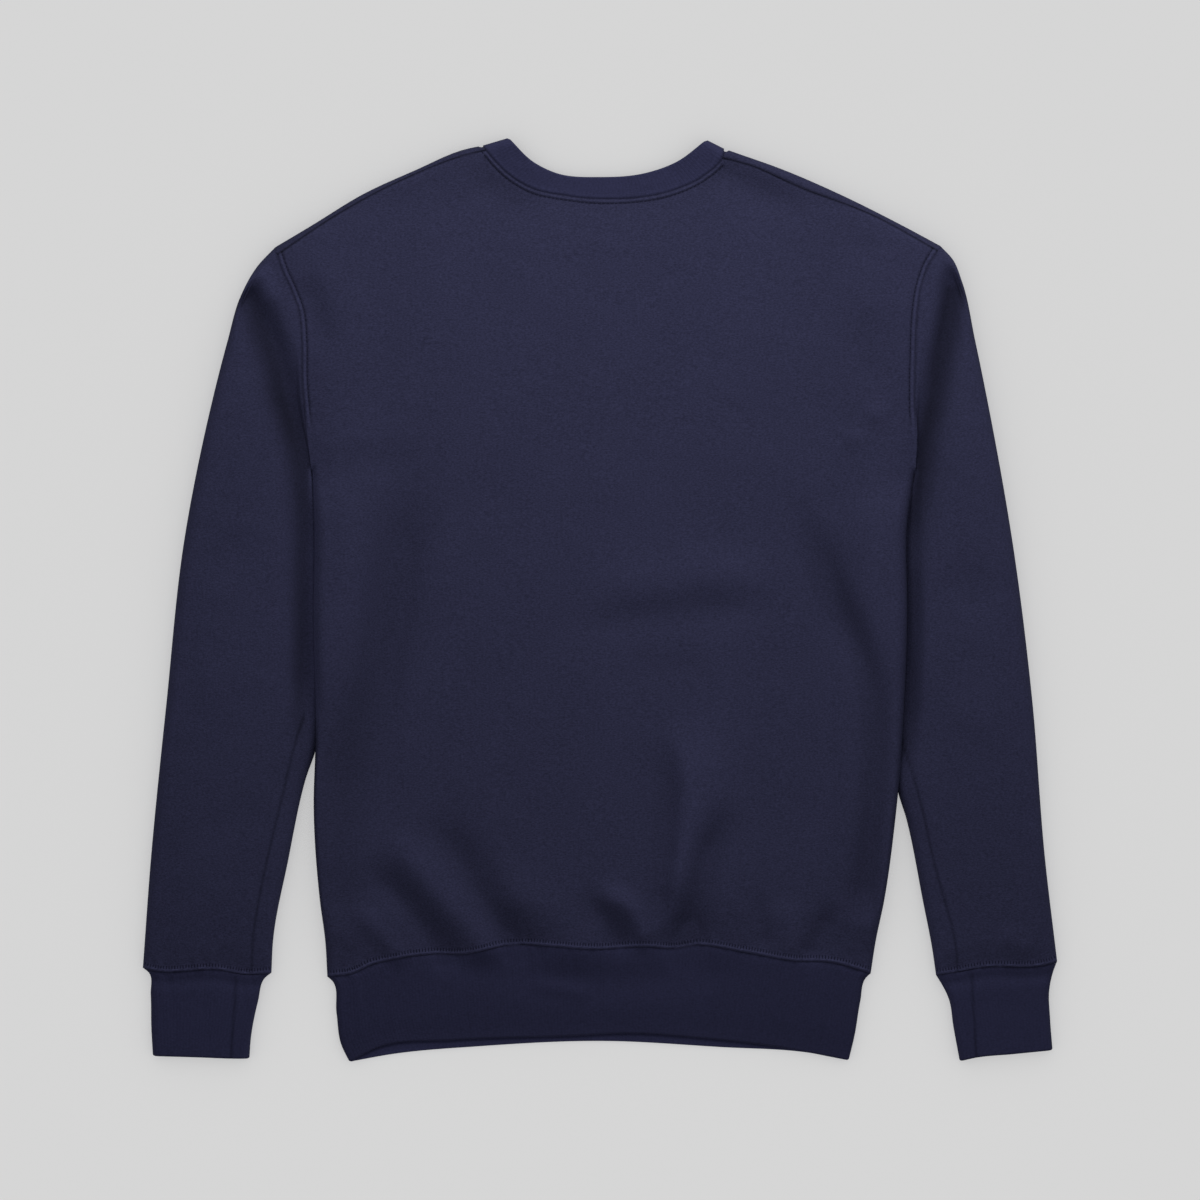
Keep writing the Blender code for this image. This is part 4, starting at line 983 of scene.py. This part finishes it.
def build_waistband(finish):
    """The waistband, a tube of rib below the hem seam, with an edge for each layer."""
    rows = rows_to_end(BAND_ROWS, TOP_SPLITS["band_rows"], BAND_WIDTH)
    left = along(PLAN["left"]["band_side"], rows)
    right = along(PLAN["right"]["band_side"], rows)
    layers = []
    top_columns = back_columns(TOP_SPLITS["back_columns"])[2]
    under_columns = front_columns(UNDER_SPLITS["front_columns"])[2]
    for across, end in ((top_columns, BAND_END_BACK), (under_columns, BAND_END_FRONT)):
        grid = patch(along(HEM, across), along(end, across), left, right, across, rows)
        layers.append((grid, height_over(grid)))
    folded = [plan_line(half, "band_side") for half in PLAN]
    flat = layers[0][0].reshape(-1, 2)
    lift, tone = band_relief(flat, SEAMS["hem"], SEEDS["band"])
    lift = (lift + folds_at(flat, BODY_FOLDS)).reshape(len(rows), -1)
    droop_from, droop = BAND_DROOP
    near_end = ease((rows - droop_from) / (1.0 - droop_from))[:, None]
    lift = lift * (1.0 - near_end) - droop * near_end
    tone += BAND_TONE
    # painted light on the lower layer's strip, in the shadow of the upper layer's edge
    more, lip_from, lip_over = BAND_LIP_PAINTED_LIGHT
    under_tone = BAND_TONE + more * ease((rows - lip_from) / lip_over)[:, None]
    return tube("waistband_rib", layers, lift, tone, folded, RIB, finish, even=True, under_tone=under_tone)


def band_relief(plan, line, seed):
    """Rise and tone of a rib that a seam gathers: a groove at the seam and faint long waves
    that run down the ribs from it.  The tone is painted shade in the groove and a painted highlight beside
    it."""
    away = away_from(plan, line)
    waves = 0.35 * uneven(plan[:, 0] + 0.15 * plan[:, 1], 13.0, seed) * np.exp(-away / 30.0)
    tone = 0.2 * bell(away - 2.5, 0.9) - 0.5 * bell(away, 0.6)
    return waves * ease(away / 2.0) - 0.3 * bell(away, 0.6), tone


def ring_shares():
    """Shares of the armhole, or of the cuff's seam, at the columns of the top and the underside."""
    return (finer(ARMHOLE_TOP, TOP_SPLITS["sleeve_columns"]),
            finer(ARMHOLE_UNDER, UNDER_SPLITS["under_columns"]))


def sleeve_grid(half, shares, rows):
    """Plan of one layer of a sleeve: from the armhole to the cuff at the given ring shares."""
    plan = PLAN[half]
    outer = along(plan["sleeve_outer"], rows["outer"])
    inner = along(sleeve_inner_edge(half), rows["inner"])
    armhole, cuff = along(plan["armhole"], shares), along(plan["cuff_seam"], shares)
    near_armhole = 1.0 - ease(rows["outer"] / 0.45)
    near_cuff = ease((rows["outer"] - 0.55) / 0.45)
    return bowed(armhole, cuff, outer, inner, shares, near_armhole, near_cuff)


def sleeve_height(grid, shares, rows):
    """Thickness of a sleeve: SLEEVE_HEIGHTS, eased to the body's own at the armhole."""
    rows = rows["outer"]
    outer, crest, inner = (
        through(SLEEVE_HEIGHTS["share"], SLEEVE_HEIGHTS[name], rows) for name in ("outer", "crest", "inner"))
    knots = np.array([outer, crest, 0.9 * crest, inner])
    own = np.array([through(SLEEVE_PLACES, knot, shares) for knot in knots.T])
    from_armhole = np.hypot(*np.moveaxis(grid - grid[:1], -1, 0))
    body = body_height(grid[0])[None]
    return body + (own - body) * ease(from_armhole / ARMHOLE_BLEND)


def crevice_painted_light(plan, half):
    """Painted light along the side of the body, from the underarm to where the sleeve leaves it, that
    lightens the shadow in the crevice beside the sleeve.
    """
    beside_it = ease((plan[:, 1] - PLAN[half]["sleeve_leaves_side"]) / CREVICE_FADE)
    away = away_from(plan, plan_line(half, "side"))
    return CREVICE_PAINTED_LIGHT[half] * beside_it * bell(away, CREVICE_WIDTH)


def build_sleeve(half, finish):
    """A sleeve, a tapering tube from the armhole to its cuff, flat beside the body."""
    split = TOP_SPLITS["sleeve_rows"]
    rows = {name: finer(values, split) for name, values in SLEEVE_ROWS.items()}
    layers = []
    for shares in ring_shares():
        grid = sleeve_grid(half, shares, rows)
        layers.append((grid, sleeve_height(grid, shares, rows)))
    top = layers[0][0]
    flat = top.reshape(-1, 2)
    along_sleeve = np.hypot(*np.moveaxis(top - top[:1], -1, 0))
    own = over(top, folds_at, SLEEVE_FOLDS[half])
    come = FOLDS_COME_UP
    upper = ease((top[..., 1] - come["starts"]) / come["over"])
    own *= ease(along_sleeve / (come["low"] + come["more"] * upper))
    lift = own + over(top, folds_at, BODY_FOLDS) * (1.0 - ease(along_sleeve / BODY_FOLDS_REACH))
    seed = SEEDS[half + "_sleeve"]
    rise, tone = seam_relief(flat, plan_line(half, "cuff_seam"), seed)
    shoulder_rise, shade = stitch_relief(flat, SEAMS[half + "_armhole"], 0.0)
    seam_rise, line = line_relief(flat, edge_line(UNDERARM_SEAM[half]))
    shade *= ease((flat[:, 1] - ARMHOLE_HIDDEN) / ARMHOLE_SHOWS)
    # painted shade at the seams, stitches and the crease beside the body, painted highlights on the welt and
    # the sleeve head, and painted light in the crevice
    tone += 0.5 * shade + line + folds_at(flat, SLEEVE_SHADES[half]) + crevice_painted_light(flat, half)
    lift = lift.ravel() + cloth_unrest(flat, seed + 2) + rise + 0.5 * shoulder_rise
    lift += seam_rise
    folded = [outer_line(half), edge_line(sleeve_inner_edge(half))]
    return tube(half + "_sleeve_cloth", layers, lift, tone, folded, FLEECE, finish, last_is_seam=True)


def build_cuff(half, finish):
    """A cuff, a short tube of rib, a little narrower than the sleeve it gathers."""
    plan = PLAN[half]
    rows = rows_to_end(CUFF_ROWS, TOP_SPLITS["cuff_rows"], CUFF_LENGTH)
    outer, inner = along(plan["cuff_outer"], rows), along(plan["cuff_inner"], rows)
    thick = CUFF_HEIGHTS[0] + (CUFF_HEIGHTS[1] - CUFF_HEIGHTS[0]) * rows
    layers = []
    for shares in ring_shares():
        ends = [along(plan[part], shares) for part in ("cuff_seam", "cuff_end")]
        grid = patch(*ends, outer, inner, shares, rows)
        layers.append((grid, np.repeat(thick[:, None], len(shares), axis=1)))
    folded = [plan_line(half, "cuff_outer"), plan_line(half, "cuff_inner")]
    flat = layers[0][0].reshape(-1, 2)
    seam = plan_line(half, "cuff_seam")
    lift, tone = band_relief(flat, seam, SEEDS[half + "_cuff"])
    rise, line = line_relief(flat, edge_line(CUFF_SEAM[half]))
    lift += rise - 1.4 * bell(away_from(flat, seam) - 7.5, 3.5)
    return tube(half + "_cuff_rib", layers, lift, tone + line, folded, RIB, finish, even=True)


# Stitches

def stitches(name, starts, ends, width, finish):
    """Threads on the cloth as one mesh: each is a bar that narrows and dips at both ends.

    A ring of five points at each share of its length, `width` across at the middle ones, and
    raised along a half wave from end to end.
    """
    shares = np.array((0.0, 0.2, 0.8, 1.0))
    radii = 0.5 * width * np.array((0.35, 1.0, 1.0, 0.35))
    turns = 2.0 * np.pi * np.arange(5) / 5.0
    run = ends - starts
    length = np.linalg.norm(run, axis=1, keepdims=True)
    ahead = run / length
    side = np.cross(ahead, (0.0, 0.0, 1.0))
    side /= np.linalg.norm(side, axis=1, keepdims=True)
    over_it = np.cross(side, ahead)
    centres = starts[:, None] + shares[:, None] * run[:, None]
    centres = centres + 0.35 * width * np.sin(np.pi * shares)[:, None] * over_it[:, None]
    ring = np.cos(turns)[:, None] * side[:, None] + np.sin(turns)[:, None] * over_it[:, None]
    points = centres[:, :, None] + radii[:, None, None] * ring[:, None]
    index = np.arange(20).reshape(4, 5)
    low, high = index[:-1], index[1:]
    sides = np.stack([low, np.roll(low, -1, axis=1), np.roll(high, -1, axis=1), high], axis=-1)
    firsts = 20 * np.arange(len(starts))
    quads = (sides.reshape(1, -1, 4) + firsts[:, None, None]).reshape(-1, 4)
    caps = np.vstack([index[0][::-1] + firsts[:, None], index[-1] + firsts[:, None]])
    return new_piece(name, points.reshape(-1, 3) * MM, quads.tolist() + caps.tolist(), finish)


def on_top(piece, plan):
    """Points of a piece's upper skin at plan points: on the plane of the nearest vertex."""
    mesh = piece.data
    points, normals = (np.empty((len(mesh.vertices), 3), np.float32) for _ in range(2))
    mesh.vertices.foreach_get("co", points.ravel())
    mesh.vertex_normals.foreach_get("vector", normals.ravel())
    upper = (np.arange(len(points)) < len(points) // 2) & (normals[:, 2] > 0.3)
    points, normals = points[upper] / MM, normals[upper]
    nearest = [((points[:, :2] - place) ** 2).sum(axis=1).argmin() for place in plan]
    near, square = points[nearest], normals[nearest]
    fall = ((plan - near[:, :2]) * square[:, :2]).sum(axis=1) / square[:, 2]
    return np.column_stack([plan, near[:, 2] - fall])


def beside(line, pitch, lengths, offsets, inside):
    """Starts and ends of stitches beside a seam: `lengths` are their places within one pitch
    along it, and `offsets` their distances from it, towards the points inside."""
    count = int(length_of(line) / pitch)
    both = []
    for part, offset in zip(lengths, offsets):
        on_line = along(line, (np.arange(count) + part) / count)
        both.append(on_line + offset * square_to(on_line, inside(on_line)))
    return both


def sew(name, piece, rows, finish):
    """The rows of stitches on one piece, as one mesh."""
    starts, ends = (np.vstack(points) for points in zip(*rows))
    return stitches(name, on_top(piece, starts), on_top(piece, ends), STITCH_WIDTH, finish)


def build_stitches(pieces, finish):
    """Overlock stitches above the hem and the cuffs, and cover stitches at neck and armholes."""
    def above(on_line):
        return on_line + np.array((0.0, 10.0))

    def body_middle(on_line):
        return np.array((0.0, 170.0))

    rows = [beside(SEAMS["hem"], LADDER_PITCH, (0.5, 0.5), LADDER, above)]
    lines = [(SEAMS["neck"], ROW_OFFSET["neck"])]
    for half in PLAN:
        seam = SEAMS[half + "_armhole"]
        lines.append((seam[seam[:, 1] > ARMHOLE_HIDDEN + ROW_STARTS], ROW_OFFSET["armhole"]))
    for line, offset in lines:
        rows.append(beside(line, ROW_PITCH, (0.0, ROW_SHARE), (offset, offset), body_middle))
    made = {"back": sew("back_stitches", pieces["back"], rows, finish)}
    for half in PLAN:
        rows = [beside(plan_line(half, "cuff_seam"), LADDER_PITCH, (0.5, 0.5), LADDER, above)]
        made[half + "_sleeve"] = sew(half + "_sleeve_stitches", pieces[half + "_sleeve"], rows, finish)
    return made


# Materials

def add(tree, kind, **inputs):
    """A node of one kind, with some of its inputs set to a value or joined to a socket."""
    node = tree.nodes.new(kind)
    for name, value in inputs.items():
        join(tree, value, node.inputs[name.replace("_", " ")])
    return node


def join(tree, value, socket):
    if isinstance(value, bpy.types.NodeSocket):
        tree.links.new(value, socket)
    else:
        socket.default_value = value


def math(tree, operation, *values, kind="ShaderNodeMath"):
    """Result of a Math node, or of one of another kind."""
    node = tree.nodes.new(kind)
    node.operation = operation
    for value, socket in zip(values, node.inputs):
        join(tree, value, socket)
    return node.outputs[0]


def noise(tree, vector, scale, detail=2.0):
    node = add(tree, "ShaderNodeTexNoise", Vector=vector, Scale=scale, Detail=detail, Roughness=0.55)
    return node.outputs["Fac"]


def group(name, inputs, outputs):
    """An empty node group with its sockets, and its input and output nodes.

    Sockets are given by name with the value that they start at.
    """
    tree = bpy.data.node_groups.new(name, "ShaderNodeTree")
    for way, sockets in (("INPUT", inputs), ("OUTPUT", outputs)):
        for label, value in sockets.items():
            kind = "Vector" if label == "Vector" else "Float"
            socket = tree.interface.new_socket(label, in_out=way, socket_type="NodeSocket" + kind)
            if value is not None:
                socket.default_value = value
    return tree, tree.nodes.new("NodeGroupInput").outputs, tree.nodes.new("NodeGroupOutput").inputs


RELIEF_SOCKETS = {"Height": None, "Valley": None}


def knit_face():
    """Plain jersey: wales of V-shaped loops.  The wale's rise is one minus the square of the
    distance from its middle; the loop's is the same along the slanted course."""
    tree, given, result = group(
        "knit_face", {"Vector": None, "Wale": 0.00125, "Course": 0.00095}, RELIEF_SOCKETS)
    place = add(tree, "ShaderNodeSeparateXYZ", Vector=given["Vector"])
    across = math(tree, "FRACT", math(tree, "DIVIDE", place.outputs["X"], given["Wale"]))
    side = math(tree, "ABSOLUTE", math(tree, "MULTIPLY_ADD", across, 2.0, -1.0))
    up = math(tree, "DIVIDE", place.outputs["Y"], given["Course"])
    slanted = math(tree, "FRACT", math(tree, "MULTIPLY_ADD", side, 0.6, up))
    loop = math(tree, "ABSOLUTE", math(tree, "MULTIPLY_ADD", slanted, 2.0, -1.0))
    wale_rise = math(tree, "SUBTRACT", 1.0, math(tree, "POWER", side, 2.0))
    loop_rise = math(tree, "SUBTRACT", 1.0, math(tree, "POWER", loop, 2.0))
    join(tree, math(tree, "MULTIPLY_ADD", wale_rise, 0.6, math(tree, "MULTIPLY", loop_rise, 0.4)),
         result["Height"])
    # how deep in the valley between two wales, darkened by the finish as painted shade
    join(tree, math(tree, "POWER", side, 4.0), result["Valley"])
    return tree


def rib_lines():
    """Fine one-and-one rib: its rise is the root of a cosine across the ribs."""
    tree, given, result = group("rib_lines", {"Vector": None, "Pitch": 0.0026}, RELIEF_SOCKETS)
    place = add(tree, "ShaderNodeSeparateXYZ", Vector=given["Vector"])
    turn = math(tree, "MULTIPLY", math(tree, "DIVIDE", place.outputs["X"], given["Pitch"]), np.pi)
    rise = math(tree, "POWER", math(tree, "ABSOLUTE", math(tree, "COSINE", turn)), 0.6)
    join(tree, rise, result["Height"])
    # how deep in the valley between two ribs, darkened by the finish as painted shade
    join(tree, math(tree, "POWER", math(tree, "SUBTRACT", 1.0, rise), 2.0), result["Valley"])
    return tree


def heather():
    """Shade of dyed and brushed yarn, about 1: fine flecks that run along the courses, soft
    blotches and slow clouds."""
    tree, given, result = group("heather", {"Vector": None, "Fleck": 1.05, "Blotch": 0.08, "Cloud": 0.16},
                                {"Shade": None, "Fuzz": None})
    drawn_out = math(tree, "MULTIPLY", given["Vector"], (0.5, 1.0, 1.0), kind="ShaderNodeVectorMath")
    fleck = noise(tree, drawn_out, 1050.0, 1.0)
    blotch = noise(tree, drawn_out, 210.0)
    cloud = noise(tree, given["Vector"], 14.0)
    shade = 1.0
    for value, amount in ((fleck, "Fleck"), (blotch, "Blotch"), (cloud, "Cloud")):
        offset = math(tree, "SUBTRACT", value, 0.5)
        shade = math(tree, "MULTIPLY_ADD", offset, given[amount], shade)
    join(tree, shade, result["Shade"])
    join(tree, math(tree, "MULTIPLY_ADD", fleck, 0.6, math(tree, "MULTIPLY", blotch, 0.4)), result["Fuzz"])
    return tree


def placed(tree, shared, **inputs):
    node = tree.nodes.new("ShaderNodeGroup")
    node.node_tree = shared
    for name, value in inputs.items():
        join(tree, value, node.inputs[name])
    return node.outputs


def new_finish(name, colour, roughness, shine):
    """A material of one colour, with its node tree and its shader."""
    made = bpy.data.materials.new(name)
    made.use_nodes = True
    made.diffuse_color = colour
    shader = made.node_tree.nodes["Principled BSDF"]
    for label, value in (("Base Color", colour), ("Roughness", roughness), ("Specular IOR Level", shine)):
        shader.inputs[label].default_value = value
    return made, made.node_tree, shader


def shaded(tree, shader, colour, shade, relief, strength, depth):
    """Gives a shader its colour times a shade, and a bump of some strength and depth."""
    scaled = tree.nodes.new("ShaderNodeVectorMath")
    scaled.operation = "SCALE"
    scaled.inputs[0].default_value = colour[:3]
    join(tree, shade, scaled.inputs["Scale"])
    join(tree, scaled.outputs[0], shader.inputs["Base Color"])
    bump = add(tree, "ShaderNodeBump", Height=relief, Strength=strength, Distance=depth)
    join(tree, bump.outputs[0], shader.inputs["Normal"])


def cloth_finish(name, colour, groups, ribbed, roughness):
    """Finish of one cloth: yarn shade, and the tone's painted light and shade of seams, folds and creases, on
    its colour, with painted shade in the knit's valleys; knit or rib in its relief.
    """
    made, tree, shader = new_finish(name, colour, roughness, 0.08)
    coordinates = tree.nodes.new("ShaderNodeTexCoord").outputs
    knit = placed(tree, groups["knit"], Vector=coordinates["UV"])
    yarn = placed(tree, groups["heather"], Vector=coordinates["Object"], Fleck=0.7 if ribbed else 1.05)
    tone = tree.nodes.new("ShaderNodeAttribute")
    tone.attribute_name = "tone"
    shade = math(tree, "MULTIPLY_ADD", tone.outputs["Fac"], TONE_STEP, 1.0)
    shade = math(tree, "MULTIPLY", math(tree, "MAXIMUM", shade, DARKEST), yarn["Shade"])
    relief = math(tree, "MULTIPLY_ADD", yarn["Fuzz"], 0.8, knit["Height"])
    valley = knit["Valley"]
    if ribbed:
        rib = placed(tree, groups["rib"], Vector=coordinates["UV"])
        relief = math(tree, "MULTIPLY_ADD", relief, 0.5, rib["Height"])
        valley = math(tree, "MAXIMUM", rib["Valley"], math(tree, "MULTIPLY", valley, 0.3))
    # painted shade in the valleys of the knit and the rib
    shade = math(tree, "MULTIPLY_ADD", valley, -0.07, shade)
    shaded(tree, shader, colour, shade, relief, 0.6, 0.00022)
    return made


def thread_finish(name, colour):
    """Finish of the sewing thread: fine uneven plies."""
    made, tree, shader = new_finish(name, colour, 0.8, 0.05)
    ply = noise(tree, tree.nodes.new("ShaderNodeTexCoord").outputs["Object"], 2500.0, 1.0)
    shaded(tree, shader, colour, math(tree, "MULTIPLY_ADD", ply, 0.5, 0.75), ply, 0.5, 0.0001)
    return made


# Surroundings

def build_floor():
    """A plain pale floor, just below what lies on it."""
    mesh = bpy.data.meshes.new("floor")
    square = ((-1, -1), (1, -1), (1, 1), (-1, 1))
    corners = [(x * FLOOR_REACH, y * FLOOR_REACH, -FLOOR_DROP) for x, y in square]
    mesh.from_pydata(corners, [], [(0, 1, 2, 3)])
    mesh.materials.append(new_finish("pale_floor", FLOOR_COLOUR, 0.9, 0.0)[0])
    floor = bpy.data.objects.new("floor", mesh)
    bpy.context.scene.collection.objects.link(floor)
    return floor


def lit_only(lamp, name, thing, state):
    """Makes a lamp light only one thing, or everything but it."""
    listed = bpy.data.collections.new(name)
    listed.objects.link(thing)
    listed.collection_objects[0].light_linking.link_state = state
    lamp.light_linking.receiver_collection = listed


def build_light(floor):
    """Two softboxes for the cloth, from past the neck and overhead, a lamp for the floor, and
    an even sky."""
    scene = bpy.context.scene
    world = bpy.data.worlds.new("studio")
    scene.world = world
    world.use_nodes = True
    sky = world.node_tree.nodes["Background"].inputs
    sky["Color"].default_value = (1.0, 1.0, 1.0, 1.0)
    sky["Strength"].default_value = SKY
    for name, (place, size, power, faces) in SOFTBOXES.items():
        box = bpy.data.lights.new(name, "AREA")
        box.shape = "RECTANGLE"
        box.size, box.size_y = size
        box.energy = power
        softbox = bpy.data.objects.new(name, box)
        softbox.location = place
        softbox.rotation_euler = (Vector(faces) - Vector(place)).to_track_quat("-Z", "Y").to_euler()
        softbox.visible_camera = False
        scene.collection.objects.link(softbox)
        lit_only(softbox, name + "_passes_over", floor, "EXCLUDE")
    sun = bpy.data.lights.new("floor_lamp", "SUN")
    sun.energy = FLOOR_SUN
    sun.angle = np.radians(60.0)
    floor_lamp = bpy.data.objects.new("floor_lamp", sun)
    scene.collection.objects.link(floor_lamp)
    lit_only(floor_lamp, "floor_lamp_lights", floor, "INCLUDE")
    floor_lamp.light_linking.blocker_collection = bpy.data.collections["floor_lamp_lights"]
    scene.view_settings.view_transform = "Standard"


def build_camera():
    """Straight above, with the neck at the top, and far enough for an almost flat view."""
    view = bpy.data.cameras.new("camera")
    view.sensor_width = SENSOR
    view.lens = SENSOR * CAMERA_HEIGHT / VIEW_WIDTH
    view.clip_end = 100.0
    camera = bpy.data.objects.new("camera", view)
    camera.location = (0.0, 0.0, CAMERA_HEIGHT)
    bpy.context.scene.collection.objects.link(camera)
    bpy.context.scene.camera = camera


def main():
    build_camera()
    build_light(build_floor())
    groups = {"knit": knit_face(), "rib": rib_lines(), "heather": heather()}
    fleece = cloth_finish("navy_fleece", FLEECE_COLOUR, groups, False, 0.95)
    rib = cloth_finish("navy_rib", RIB_COLOUR, groups, True, 0.9)
    pieces = {
        "back": build_back(fleece),
        "front": build_front(fleece),
        "waistband": build_waistband(rib),
        "collar": build_collar(rib),
    }
    for half in PLAN:
        pieces[half + "_sleeve"] = build_sleeve(half, fleece)
        pieces[half + "_cuff"] = build_cuff(half, rib)
    for node, piece in pieces.items():
        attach(piece, "root")
        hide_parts(node)
    threads = build_stitches(pieces, thread_finish("navy_thread", THREAD_COLOUR))
    for piece in threads.values():
        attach(piece, "root")


main()
